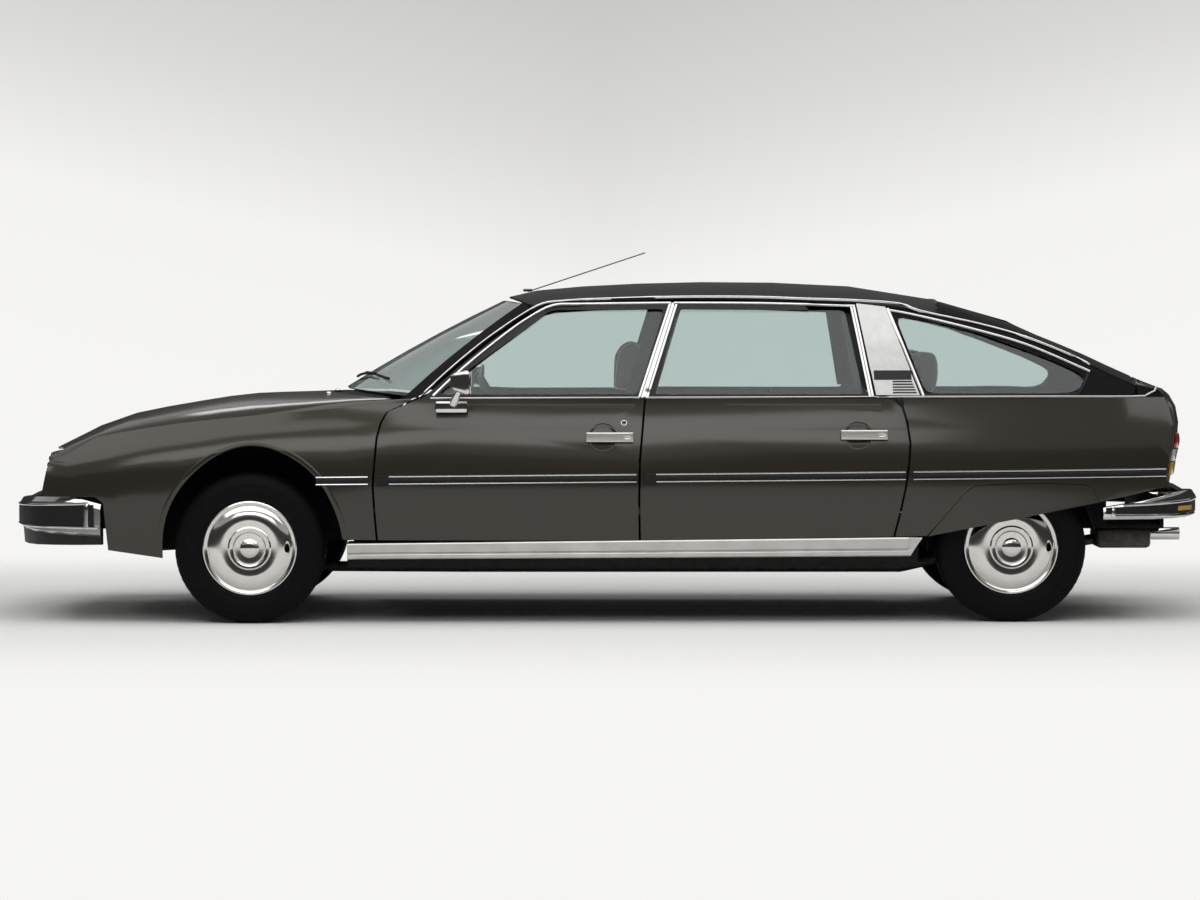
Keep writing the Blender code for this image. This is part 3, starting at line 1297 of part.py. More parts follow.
def build_wheels():
    """Steering knuckles, steel wheels with their polished covers, and tyres."""
    centre = front_wheel_centre()
    low = centre.z - JOINT_RISE + JOINT_RADIUS + SEAT_GAP
    high = centre.z + JOINT_RISE - JOINT_RADIUS - SEAT_GAP
    upright = block("upright", (centre.x - UPRIGHT_HALF * 1.5, KINGPIN_Y - UPRIGHT_HALF, low),
                    (centre.x + UPRIGHT_HALF * 1.5, KINGPIN_Y + UPRIGHT_HALF, high))
    spindle = rod("spindle", (centre.x, KINGPIN_Y, centre.z), (centre.x, centre.y + RIM_RADIUS * 0.05, centre.z),
                  SPINDLE_RADIUS, 16)
    steering_arm = bar("steering_arm", (centre.x, KINGPIN_Y, centre.z), (centre.x + 0.110, KINGPIN_Y - 0.045, centre.z),
                       UPRIGHT_HALF, UPRIGHT_HALF)
    knuckle = combine(upright, [spindle, steering_arm], "UNION")
    finish_pair(knuckle, "knuckle", "dark_metal")
    for name, middle, width, dish in (("front", centre, FRONT_TYRE_WIDTH, 0.0),
                                      ("rear", rear_wheel_centre(), REAR_TYRE_WIDTH, 0.0)):
        finish_pair(turned("wheel", wheel_profile(width), middle, WHEEL_STEPS), name + "_wheel", "steel")
        finish_pair(turned("tyre", tyre_profile(width), middle, TYRE_STEPS), name + "_tyre", "rubber")


def wheel_profile(tyre_width):
    """Section of rim, disc and cover: (radius, outboard place) corners, seated on the spindle."""
    rim_half = tyre_width * 0.38
    lip = RIM_RADIUS + RIM_LIP
    well = RIM_RADIUS - 0.018
    wall = 0.006
    bore = SPINDLE_RADIUS / math.cos(math.pi / WHEEL_STEPS) + SEAT_GAP
    return ((bore, -0.012), (0.080, -0.012), (well - wall, 0.012), (RIM_RADIUS - wall, -rim_half),
            (lip, -rim_half), (RIM_RADIUS, -rim_half + wall), (well, 0), (RIM_RADIUS, rim_half - wall),
            (lip, rim_half - wall / 2), (lip - 0.004, rim_half + wall), (0.150, rim_half + 0.012),
            (0.045, rim_half + 0.024), (0.012, rim_half + 0.031), (0.012, 0.012), (bore, 0.012))


def tyre_profile(width):
    """Section of a radial tyre round the rim's seats."""
    half = width / 2
    bead = (RIM_RADIUS + RIM_LIP) / math.cos(math.pi / TYRE_STEPS) + SEAT_GAP
    rim_half = width * 0.38
    middle = RIM_RADIUS + (TYRE_RADIUS - RIM_RADIUS) * 0.50
    tread = TYRE_RADIUS / math.cos(math.pi / TYRE_STEPS)
    return ((bead, -rim_half), (bead + 0.004, -rim_half - 0.010), (middle, -half),
            (tread - 0.018, -half * 0.92), (tread, -half * 0.66), (tread, half * 0.66),
            (tread - 0.018, half * 0.92), (middle, half), (bead + 0.004, rim_half + 0.010),
            (bead, rim_half - 0.003))


def build_rear_axle():
    """Rear cross tube, trailing arms and stub axles."""
    centre = rear_wheel_centre()
    tube_x = x_at(HEEL_STATION) + 0.102
    tube_z = BOOT_FLOOR_HEIGHT - 0.060
    base = rod("cross_tube", (tube_x, -BOOT_HALF, tube_z), (tube_x, BOOT_HALF, tube_z), 0.032, 12)

    def side():
        arm_y = centre.y - REAR_TYRE_WIDTH / 2 - 0.036
        arm = bar("trailing_arm", (tube_x, arm_y, tube_z), (centre.x, arm_y, centre.z), 0.040, 0.070)
        stub = rod("stub", (centre.x, arm_y, centre.z), (centre.x, centre.y + 0.010, centre.z), SPINDLE_RADIUS, 16)
        saddle = block("saddle", (tube_x - 0.04, BOOT_HALF - 0.12, tube_z), (tube_x + 0.04, BOOT_HALF - 0.06,
                                                                        BOOT_FLOOR_HEIGHT - SEAT_GAP))
        return combine(arm, [stub, saddle], "UNION")

    return finish(combine(base, both_sides(side), "UNION"), "rear_axle", "dark_metal")


def bumper_front_path():
    """Plan of the front bumper's face from mid width round to its side end."""
    return ((-2.460, 0.0), (-2.456, 0.20), (-2.438, 0.42), (-2.400, 0.58), (-2.345, 0.70), (-2.270, 0.775),
            (-2.170, 0.830), (-2.055, 0.862))


def build_bumpers():
    """Wrap-round bumpers: a deep bar with a lower valance in front, a slim bar behind."""
    front = []
    for index, (x, y) in enumerate(bumper_front_path()):
        along = index / 7
        top = 0.483 + 0.029 * min(1, along * 1.6) - 0.028 * max(0, along - 0.86) / 0.14
        low = 0.385 - 0.030 * along
        skirt = 0.305 + 0.015 * along
        inward = Vector((0.9 - 0.75 * along ** 3, -0.15 - 0.85 * along ** 3))
        front.append((x, y, top, low, skirt, inward))
    sections = []
    for side in (-1, 1):
        rows = list(reversed(front)) if side < 0 else front[1:]
        for x, y, top, low, skirt, inward in rows:
            depth = 0.050
            lip = 0.014

            def at(back, z):
                return (x + inward.x * back, side * (y + inward.y * back), z)

            sections.append([at(lip, top), at(0, top - 0.020), at(0, low + 0.010), at(lip, low), at(lip * 1.4, skirt),
                             at(depth, skirt), at(depth, top)])
    finish(loft("front_bumper", sections), "front_bumper", "steel")
    path = ((2.460, 0.0), (2.452, 0.25), (2.430, 0.45), (2.385, 0.60), (2.320, 0.69), (2.230, 0.755), (2.120, 0.785),
            (2.012, 0.802))
    rear = []
    for index, (x, y) in enumerate(path):
        along = index / 7
        top = 0.508 + 0.030 * math.sin(math.pi * min(1, along * 1.1)) - 0.040 * along ** 2
        low = 0.422 - 0.004 * along
        inward = Vector((-0.9 + 0.8 * along ** 3, -0.15 - 0.85 * along ** 3))
        rear.append((x, y, top, low, inward))
    sections = []
    for side in (-1, 1):
        rows = list(reversed(rear)) if side < 0 else rear[1:]
        for x, y, top, low, inward in rows:
            depth = 0.045

            def at(back, z):
                return (x + inward.x * back, side * (y + inward.y * back), z)

            sections.append([at(0.012, top), at(0, top - 0.018), at(0, low + 0.015), at(0.012, low), at(depth, low),
                             at(depth, top)])
    brackets = [rod("bracket", (x_at(BOOT_END_STATION) + SEAT_GAP, y, 0.465), (2.410, y, 0.465), 0.014)
                for y in (-0.400, 0.400)]
    finish(combine(loft("rear_bumper", sections), brackets, "UNION"), "rear_bumper", "steel")


def nose_x(y, z):
    """Lengthwise place of the nose face, swept back to the sides and leaning back upwards."""
    return x_at(0.096) + NOSE_SWEEP * (y / NOSE_HALF) ** 2 + 0.45 * max(0, z - 0.635) - 0.02 * max(0, 0.635 - z)


def build_nose():
    """Grille with its slats, and the two wide lamps beside it."""
    low, high = 0.500, 0.664
    half = 0.335
    depth = 0.030
    slats = []
    count = 6
    steps = 4
    for row in range(count):
        z = low + (high - low) * (row + 0.5) / count
        sections = []
        for step in range(steps + 1):
            y = half * (2 * step / steps - 1)
            x = nose_x(y, z)
            sections.append([(x, y, z - 0.005), (x + depth, y, z - 0.003), (x + depth, y, z + 0.003), (x, y, z + 0.005)])
        slats.append(loft("slat", sections))
    frame = []
    for z0, z1 in ((low - 0.006, low + 0.004), (high - 0.004, high + 0.006)):
        sections = []
        for step in range(steps + 1):
            y = half * (2 * step / steps - 1)
            x = nose_x(y, z0) + 0.004
            sections.append([(x, y, z0), (x + depth, y, z0), (x + depth, y, z1), (x, y, z1)])
        frame.append(loft("edge", sections))
    ribs = []
    for share in (-1, 0, 1):
        y = half * share
        rib = 0.005
        x = nose_x(y, low) + 0.006
        top_x = nose_x(y, high) + 0.006
        back = lamp_back_x()
        rib_low, rib_high = low - 0.004, high + 0.004
        ribs.append(loft("rib", [[(x, y - rib, rib_low), (back, y - rib, rib_low),
                                  (back, y + rib, rib_low), (x, y + rib, rib_low)],
                                 [(top_x, y - rib, rib_high), (back, y - rib, rib_high - 0.030),
                                  (back, y + rib, rib_high - 0.030), (top_x, y + rib, rib_high)]]))
    grille = combine(frame[0], frame[1:] + ribs + slats, "UNION")
    finish(grille, "grille", "black_plastic")
    sections = []
    inner = half + 0.010
    outer = LAMP_OUTER
    steps = 6
    for step in range(steps + 1):
        share = step / steps
        y = inner + (outer - inner) * share
        bottom = low + 0.008 + 0.035 * share
        top = LAMP_TOP - 0.014 * share
        mid = (bottom + top) / 2
        back = lamp_back_x()
        sections.append([(nose_x(y, bottom), y, bottom), (nose_x(y, mid) - 0.006, y, mid), (nose_x(y, top), y, top),
                         (back, y, top - 0.01), (back, y, bottom + 0.01)])
    finish_pair(loft("headlamp", sections), "headlamp", "clear_lens")


def build_tail_lamps():
    """Wide wedge lamps on the tail panel below the boot lid's shoulders."""
    lamp = tail_sheet("tail_lamp", LAMP_THICKNESS, SEAT_GAP * 4, (1, 0, 0.5))
    outline = [(0.412, 0.590), (0.668, 0.590), (0.668, 0.770), (0.624, 0.770), (0.412, 0.690)]
    lamp = combine(lamp, [prism("lamp_edge", outline, x_at(2.70), LENGTH, view="rear")], "INTERSECT")
    finish_pair(lamp, "tail_lamp", "red_lens")


DASH_FACE = -0.648


def build_cabin():
    """Dashboard, steering wheel, seats."""
    front = x_at(FIREWALL_X_STATION) + FIREWALL_THICKNESS + SEAT_GAP
    dash = [(front, 0.560), (-0.760, 0.560), (DASH_FACE, 0.640), (DASH_FACE, 0.780), (-0.700, 0.830), (-0.940, 0.832),
            (front, 0.800)]
    board = prism("dash", dash, -0.66, 0.66)
    finish(board, "dashboard", "black_plastic")
    wheel = bpy.data.meshes.new("rim")
    work = bmesh.new()
    bmesh.ops.create_circle(work, segments=6, radius=0.014)
    bmesh.ops.translate(work, vec=(0.190, 0, 0), verts=work.verts)
    work.to_mesh(wheel)
    work.free()
    rim = new_object("rim", wheel)
    spin = rim.modifiers.new("spin", "SCREW")
    spin.axis = "Y"
    spin.steps = 20
    spin.render_steps = 20
    spin.use_merge_vertices = True
    spin.merge_threshold = 0.0001
    rim.rotation_euler = (0, 0, math.pi / 2)
    bpy.context.view_layer.update()
    rim = settle(rim)
    tilt = Matrix.Rotation(math.radians(-28), 4, "Y")
    centre = Vector((-0.440, -0.360, 0.820))
    rim.data.transform(Matrix.Translation(centre) @ tilt)
    hub_end = centre + tilt @ Vector((-0.030, 0, 0))
    spoke = bar("spoke", centre + tilt @ Vector((0, 0, -0.188)), hub_end, 0.050, 0.016)
    hub = rod("hub", hub_end + tilt @ Vector((0.012, 0, 0)), hub_end + tilt @ Vector((-0.06, 0, 0)), 0.050, 16)
    radius = 0.026
    rings = []
    for middle, up in ((hub_end, tilt @ Vector((0, 0, 1))), (Vector((DASH_FACE + SEAT_GAP, centre.y, 0.710)), Vector((0, 0, 1)))):
        rings.append([middle + Vector((0, radius, 0)) * math.cos(turn) + up * radius * math.sin(turn)
                      for turn in (math.tau * side / 10 for side in range(10))])
    column = loft("column", rings)
    finish(combine(rim, [spoke, hub, column], "UNION"), "steering_wheel", "black_plastic")
    for name, y in (("front_seat_left", -0.370), ("front_seat_right", 0.370)):
        seat(name, -0.330, y, 0.255)
    cushion = [(0.700, 0.2464), (1.240, 0.2464), (1.2945, 0.392), (1.2945, 0.680), (1.330, 0.900), (1.230, 0.930),
               (1.120, 0.520), (0.720, 0.500), (0.690, 0.430)]
    bench = prism("bench", cushion, -0.640, 0.640)
    heads = [block("head", (1.250, y - 0.12, 0.86), (1.370, y + 0.12, 1.100), 0.02) for y in (-0.36, 0.36)]
    finish(combine(bench, heads, "UNION"), "rear_seat", "cloth")
    shelf = block("shelf", (1.3705, -0.600, 0.890), (2.120, 0.600, 0.905))
    finish(shelf, "parcel_shelf", "black_plastic")


def seat(name, x, y, half):
    """One front seat: base on its runner, cushion, backrest and headrest in one soft solid."""
    side = [(x - 0.26, 0.2464), (x + 0.22, 0.2464), (x + 0.26, 0.330), (x + 0.42, 0.900), (x + 0.40, 0.960), (x + 0.31, 0.930),
            (x + 0.19, 0.520), (x - 0.24, 0.520), (x - 0.30, 0.450)]
    body = prism(name, side, y - half, y + half)
    head = block("head", (x + 0.345, y - 0.12, 0.90), (x + 0.480, y + 0.12, 1.135), 0.02)
    finish(combine(body, [head], "UNION"), name, "cloth")


def build_engine_and_exhaust():
    """Engine and gearbox as one plain block, and the exhaust with its rear box."""
    engine = block("engine", (-1.900, -0.360, 0.300), (-1.560, 0.360, 0.720), 0.03)
    mounts = []
    for side in (-1, 1):
        inner, outer = side * 0.340, side * (RAIL_Y - RAIL_SECTION / 2 - SEAT_GAP)
        mounts.append(block("engine_mount", (-1.760, min(inner, outer), RAIL_HEIGHT - 0.020),
                            (-1.700, max(inner, outer), RAIL_HEIGHT + 0.020)))
    finish(combine(engine, mounts, "UNION"), "engine", "dark_metal")
    y = -0.450
    pipe = tube("pipe", [(-1.540, -0.100, 0.200), (-1.200, -0.150, 0.190), (-0.600, -0.200, 0.190), (1.230, -0.200, 0.190),
                         (1.420, -0.300, 0.240), (1.700, -0.440, 0.270), (2.060, y, 0.330)], 0.022)
    box = block("silencer", (2.010, y - 0.110, 0.290), (2.240, y + 0.110, 0.3717), 0.02)
    tail = rod("tailpipe", (2.200, y, 0.345), (2.368, y, 0.345), 0.026, 16)
    finish(combine(pipe, [box, tail], "UNION"), "exhaust", "steel")


def build_mirrors_and_antenna():
    """Door mirrors on their stalks and the roof antenna."""
    head = block("mirror_head", (-0.652, 0.862, 0.920), (-0.602, 0.985, 1.028), 0.018)
    foot_low, foot_high, foot_front, foot_rear, foot_outer = 0.868, 0.893, -0.665, -0.585, 0.860
    rear_station = station_at(foot_rear)
    foot_section = [(flank_y(rear_station, foot_low) + SEAT_GAP, foot_low), (foot_outer, foot_low),
                    (foot_outer, foot_high), (flank_y(rear_station, foot_high) + SEAT_GAP, foot_high)]
    foot = prism("mirror_foot", foot_section, foot_front, foot_rear, "rear")
    stalk = rod("stalk", (-0.625, 0.845, 0.880), (-0.625, 0.905, 0.945), 0.009, 8)
    finish_pair(combine(head, [stalk, foot], "UNION"), "mirror", "steel")
    base = Vector((-0.338, 0, 1.3472))
    mast = rod("mast", base, (0.160, 0, 1.512), 0.003, 6)
    knob = block("knob", base - Vector((0.02, 0.015, 0.000)), base + Vector((0.02, 0.015, 0.012)), 0.004)
    finish(combine(knob, [mast], "UNION"), "antenna", "black_plastic")


build_doors()
build_roof()
build_screens()
build_quarters()
build_wings()
build_bonnet()
build_tail()
build_floor()
build_boot_tub()
build_bulkhead()
build_front_frame()
build_wheels()
build_rear_axle()
build_bumpers()
build_nose()
build_tail_lamps()
build_cabin()
build_engine_and_exhaust()
build_mirrors_and_antenna()
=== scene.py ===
"""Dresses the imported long-wheelbase fastback saloon: paint, vinyl, bright trim, lamps, wheels and cabin.

Everything is in metres in the model's own frame: the nose points to -X, the left side to -Y, up is +Z.
"""

import math

import bmesh
import bpy
from mathutils import Matrix, Vector
from mathutils.bvhtree import BVHTree
import numpy as np


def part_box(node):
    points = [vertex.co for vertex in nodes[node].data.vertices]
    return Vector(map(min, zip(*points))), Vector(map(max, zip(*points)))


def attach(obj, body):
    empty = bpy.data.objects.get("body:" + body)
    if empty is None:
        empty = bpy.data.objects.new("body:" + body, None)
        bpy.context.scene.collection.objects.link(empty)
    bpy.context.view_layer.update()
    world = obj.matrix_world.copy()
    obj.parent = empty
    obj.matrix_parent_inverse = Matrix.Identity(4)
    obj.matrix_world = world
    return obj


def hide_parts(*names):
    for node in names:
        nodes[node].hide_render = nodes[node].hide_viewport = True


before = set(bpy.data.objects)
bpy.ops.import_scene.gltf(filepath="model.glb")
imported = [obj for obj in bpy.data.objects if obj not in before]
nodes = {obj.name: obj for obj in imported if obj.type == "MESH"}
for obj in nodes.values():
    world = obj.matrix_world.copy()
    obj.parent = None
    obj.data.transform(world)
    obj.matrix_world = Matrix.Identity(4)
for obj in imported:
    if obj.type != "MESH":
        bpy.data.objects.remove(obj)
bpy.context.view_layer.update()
bpy.ops.object.select_all(action="DESELECT")

# Studio
# A pale seamless floor that fades into a pale background, one wide softbox overhead and weak fills,
# a dark wall that only polished metal and lacquer see, and a long lens square on to the left side.
LENS_LENGTH = 125.0
LENS_PLACE = (-0.032, -17.7, 1.311)
LENS_TILT = math.radians(2.06)
camera_data = bpy.data.cameras.new("photo_camera")
camera_data.lens = LENS_LENGTH
camera_data.sensor_width = 36.0
camera_data.clip_end = 400.0
camera = bpy.data.objects.new("photo_camera", camera_data)
camera.location = LENS_PLACE
camera.rotation_euler = (math.pi / 2 - LENS_TILT, 0, 0)
bpy.context.scene.collection.objects.link(camera)
bpy.context.scene.camera = camera
bpy.context.scene.view_settings.view_transform = "Standard"


def softbox(name, place, aim, width, depth, power, tone=(1.0, 1.0, 1.0)):
    """A rectangular studio lamp facing a point."""
    lamp_data = bpy.data.lights.new(name, "AREA")
    lamp_data.shape = "RECTANGLE"
    lamp_data.size = width
    lamp_data.size_y = depth
    lamp_data.energy = power
    lamp_data.color = tone
    lamp = bpy.data.objects.new(name, lamp_data)
    lamp.location = place
    lamp.rotation_euler = (Vector(aim) - Vector(place)).to_track_quat("-Z", "Y").to_euler()
    bpy.context.scene.collection.objects.link(lamp)


softbox("overhead_box", (0.0, -2.2, 6.4), (0.0, -1.6, 0.0), 14.0, 8.0, 620)
softbox("near_fill", (-1.0, -9.0, 5.5), (0.0, 0.0, 0.7), 8.0, 2.0, 130)
softbox("far_fill", (0.5, 8.0, 6.0), (0.0, 0.0, 0.8), 8.0, 2.0, 120)


def added(tree, kind, values=(), operation=None):
    """A node of some kind in a shader tree, with values for some of its inputs."""
    made = tree.nodes.new("ShaderNode" + kind)
    if operation:
        made.operation = operation
    for socket, value in dict(values).items():
        made.inputs[socket].default_value = value
    return made


def wired(tree, *links):
    """Joins nodes: each link is a node and its output, then a node and its input."""
    for source, output, target, socket in links:
        tree.links.new(source.outputs[output], target.inputs[socket])


def new_material(name, values):
    """A node-based material with values for its main shader, its tree and that shader."""
    made = bpy.data.materials.new(name)
    made.use_nodes = True
    shader = made.node_tree.nodes["Principled BSDF"]
    for socket, value in values.items():
        shader.inputs[socket].default_value = value
    return made, made.node_tree, shader


world = bpy.data.worlds.new("studio")
bpy.context.scene.world = world
world.use_nodes = True
sky = world.node_tree
sky.nodes.clear()
sky_out = added(sky, "OutputWorld")
lighting = added(sky, "Background", {"Color": (0.93, 0.94, 0.95, 1), "Strength": 0.20})
shown = added(sky, "Background")
heights = added(sky, "ValToRGB")
SKY_TONES = ((0.480, 0.92), (0.500, 0.90), (0.518, 0.70), (0.537, 0.57), (0.600, 0.46), (0.750, 0.22),
             (0.950, 0.14))
heights.color_ramp.elements.remove(heights.color_ramp.elements[1])
for position, tone in SKY_TONES:
    stop = heights.color_ramp.elements.new(position)
    stop.color = (tone, tone * 0.992, tone * 0.975, 1)
heights.color_ramp.elements.remove(heights.color_ramp.elements[0])
gaze = added(sky, "TexCoord")
parts = added(sky, "SeparateXYZ")
centred = added(sky, "Math", {1: 0.5, 2: 0.5}, "MULTIPLY_ADD")
sidelong = added(sky, "Math", operation="ABSOLUTE")
brighter = added(sky, "Math", {1: -0.11}, "MULTIPLY_ADD")
rays = added(sky, "LightPath")
either = added(sky, "Math", operation="MAXIMUM")
also = added(sky, "Math", operation="MAXIMUM")
choice = added(sky, "MixShader")
wired(sky, (gaze, "Generated", parts, "Vector"), (parts, "Z", centred, 0), (parts, "X", sidelong, 0),
      (sidelong, "Value", brighter, 0), (centred, "Value", brighter, 2), (brighter, "Value", heights, "Fac"),
      (heights, "Color", shown, "Color"), (rays, "Is Camera Ray", either, 0),
      (rays, "Is Glossy Ray", either, 1), (either, "Value", also, 0), (rays, "Is Transmission Ray", also, 1),
      (also, "Value", choice, "Fac"), (lighting, "Background", choice, 1), (shown, "Background", choice, 2),
      (choice, "Shader", sky_out, "Surface"))

FLOOR_RADIUS = 60.0
FADE_START, FADE_END = 1.10, 3.6
FADE_LENGTH, FADE_WIDTH = 2.7, 1.1
bpy.ops.mesh.primitive_circle_add(vertices=96, radius=FLOOR_RADIUS, fill_type="NGON")
floor = bpy.context.object
floor.name = "studio_floor"
floor_paint, tree, floor_shader = new_material("floor_paint", {
    "Base Color": (0.78, 0.775, 0.76, 1), "Roughness": 0.8, "Specular IOR Level": 0.2})
spot = added(tree, "TexCoord")
shrunk = added(tree, "VectorMath", {1: (1 / FADE_LENGTH, 1 / FADE_WIDTH, 1.0)}, "MULTIPLY")
reach = added(tree, "VectorMath", operation="LENGTH")
fade = added(tree, "MapRange", {"From Min": FADE_START, "From Max": FADE_END})
fade.interpolation_type = "SMOOTHSTEP"
clear = added(tree, "BsdfTransparent")
blend_out = added(tree, "MixShader")
wired(tree, (spot, "Object", shrunk, 0), (shrunk, "Vector", reach, 0), (reach, "Value", fade, "Value"),
      (fade, "Result", blend_out, "Fac"), (floor_shader, "BSDF", blend_out, 1),
      (clear, "BSDF", blend_out, 2), (blend_out, "Shader", tree.nodes["Material Output"], "Surface"))
floor.data.materials.append(floor_paint)

WALL_RADIUS = 7.5
WALL_HEIGHT = 2.6
WALL_LIFT = 0.02
bpy.ops.mesh.primitive_cylinder_add(vertices=96, radius=WALL_RADIUS, depth=WALL_HEIGHT,
                                    end_fill_type="NOTHING", location=(0, 0, WALL_HEIGHT / 2 + WALL_LIFT))
dark_wall = bpy.context.object
dark_wall.name = "dark_studio_wall"
wall_cloth = new_material("wall_cloth", {"Base Color": (0.05, 0.05, 0.05, 1), "Roughness": 1.0})[0]
dark_wall.data.materials.append(wall_cloth)
dark_wall.visible_camera = False
dark_wall.visible_diffuse = False
dark_wall.visible_transmission = False
dark_wall.visible_shadow = False
bpy.ops.object.select_all(action="DESELECT")

# Painted panels
# Pressed steel doors, wings, rear quarters, bonnet, boot lid and tail panel in a metallic olive brown
# under clear lacquer, each with its own rolled edge; every panel is a smoothed copy of its solid.
SIDES = ("left", "right")
SIGNS = {"left": -1, "right": 1}
EDGE_ROLL = 0.0016
CREASE = math.radians(32)


def surface(name, dark, light, patch, roughness, metallic=0.0, coat=0.0, grain=0.0, grain_depth=0.0,
            specular=0.5, sheen=0.0):
    """A finish whose colour drifts between two shades, with a fine grain where it has one."""
    made, tree, shader = new_material(name, {
        "Roughness": roughness, "Metallic": metallic, "Coat Weight": coat, "Coat Roughness": 0.03,
        "Specular IOR Level": specular, "Sheen Weight": sheen})
    place = added(tree, "TexCoord")
    drift = added(tree, "TexNoise", {"Scale": patch, "Detail": 4.0})
    shades = added(tree, "ValToRGB")
    for stop, position, colour in zip(shades.color_ramp.elements, (0.3, 0.7), (dark, light)):
        stop.position = position
        stop.color = (*colour, 1)
    wired(tree, (place, "Object", drift, "Vector"), (drift, "Fac", shades, "Fac"),
          (shades, "Color", shader, "Base Color"))
    if grain:
        pits = added(tree, "TexNoise", {"Scale": grain, "Detail": 3.0})
        bump = added(tree, "Bump", {"Strength": 0.6, "Distance": grain_depth})
        wired(tree, (place, "Object", pits, "Vector"), (pits, "Fac", bump, "Height"),
              (bump, "Normal", shader, "Normal"))
    return made


paint = surface("olive_paint", (0.036, 0.0315, 0.0235), (0.044, 0.039, 0.0295), 900, 0.38, metallic=0.5,
                coat=0.9, specular=0.0)
paint.node_tree.nodes["Principled BSDF"].inputs["Coat Roughness"].default_value = 0.13
frame_black = surface("frame_black", (0.008, 0.008, 0.008), (0.013, 0.013, 0.012), 60, 0.45, specular=0.3)


def select_only(piece):
    """Makes one object the only selected and active one."""
    bpy.ops.object.select_all(action="DESELECT")
    piece.select_set(True)
    bpy.context.view_layer.objects.active = piece


def new_piece(name, mesh):
    """An object of a mesh or curve, linked and selected."""
    piece = bpy.data.objects.new(name, mesh)
    bpy.context.scene.collection.objects.link(piece)
    select_only(piece)
    return piece


def apply_all(piece):
    """Applies every modifier of a piece in order."""
    select_only(piece)
    for modifier in list(piece.modifiers):
        bpy.ops.object.modifier_apply(modifier=modifier.name)


def smooth(piece, angle=CREASE):
    """Shades a piece smoothly except across its sharp edges."""
    select_only(piece)
    bpy.ops.object.shade_smooth_by_angle(angle=angle)


def rolled(piece, width=EDGE_ROLL, angle=CREASE, segments=2):
    """Rounds the sharp edges of a piece a little."""
    bevel = piece.modifiers.new("roll", "BEVEL")
    bevel.limit_method = "ANGLE"
    bevel.angle_limit = angle
    bevel.width = width
    bevel.segments = segments
    bevel.use_clamp_overlap = True
    apply_all(piece)
    smooth(piece, angle)


def carved(piece, tool):
    """Cuts a tool's form out of a piece and removes the tool."""
    carve = piece.modifiers.new("carve", "BOOLEAN")
    carve.object = tool
    apply_all(piece)
    bpy.data.objects.remove(tool)


def whole_mesh_in_edit():
    """Opens the active piece's mesh with all of it selected."""
    bpy.ops.object.mode_set(mode="EDIT")
    bpy.ops.mesh.select_all(action="SELECT")


def copied(node, name):
    """A merged copy of a CAD node's mesh as a new piece."""
    piece = new_piece(name, nodes[node].data.copy())
    piece.data.materials.clear()
    whole_mesh_in_edit()
    bpy.ops.mesh.remove_doubles(threshold=0.00002)
    bpy.ops.mesh.dissolve_limited(angle_limit=math.radians(0.4))
    bpy.ops.object.mode_set(mode="OBJECT")
    return piece


def sliced(level, **kept):
    """Cuts the active piece's mesh across at a height."""
    whole_mesh_in_edit()
    bpy.ops.mesh.bisect(plane_co=(0, 0, level), plane_no=(0, 0, 1), **kept)
    bpy.ops.object.mode_set(mode="OBJECT")


def tinted(piece, finish):
    """Puts one finish on a piece."""
    piece.data.materials.clear()
    piece.data.materials.append(finish)
    return piece


def two_tone(piece, first, second, has_second):
    """Puts two finishes on a piece: the second where the test holds for a face's centre."""
    tinted(piece, first).data.materials.append(second)
    for face in piece.data.polygons:
        face.material_index = int(has_second(face.center))


def fixed(piece, slot, body, *replaced):
    """Hides the nodes that a piece stands for and fixes it to the body it moves with; its slot is not used.
    """
    if replaced:
        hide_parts(*replaced)
    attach(piece, body)


def weighed(piece):
    """Lets the large faces of a piece lead its shading."""
    weigh = piece.modifiers.new("weigh", "WEIGHTED_NORMAL")
    weigh.keep_sharp = True
    apply_all(piece)


def dressed(node, finish, slot, body, width=EDGE_ROLL, suffix="_skin"):
    """A CAD node's smoothed copy with softened edges, in its finish, standing for the node."""
    piece = copied(node, node + suffix)
    rolled(piece, width)
    tinted(piece, finish)
    weighed(piece)
    fixed(piece, slot, body, node)
    return piece


def search_tree(names):
    """A search tree over the meshes of some CAD nodes."""
    points = []
    faces = []
    for name in names:
        mesh = nodes[name].data
        start = len(points)
        points += [vertex.co.copy() for vertex in mesh.vertices]
        faces += [[start + corner for corner in face.vertices] for face in mesh.polygons]
    return BVHTree.FromPolygons(points, faces)


flank = search_tree(("wing_left", "front_door_left", "rear_door_left", "quarter_left", "wheel_cover_left",
                     "roof"))
BELT_LEVEL = 0.9145
PROBE_STEP = 0.012
OUTSIDE = -2.0
DEEPEST = -0.50


def on_side(x, z):
    """The place on the left flank at a length and height, and the way the panel faces there."""
    found = []
    facing = Vector()
    for along, up in ((0, 0), (1, 0), (-1, 0), (0, 1), (0, -1), (2, 0), (-2, 0)):
        start = Vector((x + along * PROBE_STEP, OUTSIDE, z + up * PROBE_STEP))
        spot, normal, _, _ = flank.ray_cast(start, Vector((0, 1, 0)))
        if spot is not None and spot.y < DEEPEST:
            found.append(spot.y)
            facing += normal
    if not found:
        return Vector((x, DEEPEST, z)), Vector((0, -1, 0))
    outermost = min(found)
    level = found[0] if found[0] < outermost + 0.012 else outermost
    facing.x = 0
    return Vector((x, level, z)), facing.normalized()


FLOW_STEP = 0.025
FLOW_ROUNDS = 9
SIDE_LOW, SIDE_HIGH = (-2.36, 0.24), (2.36, 0.94)
TOP_LOW, TOP_HIGH = (-2.36, 0.0), (-0.80, 0.86)
OWN_ANGLE = math.cos(math.radians(36))
TAIL_END, TAIL_BLEND = 2.16, 0.20


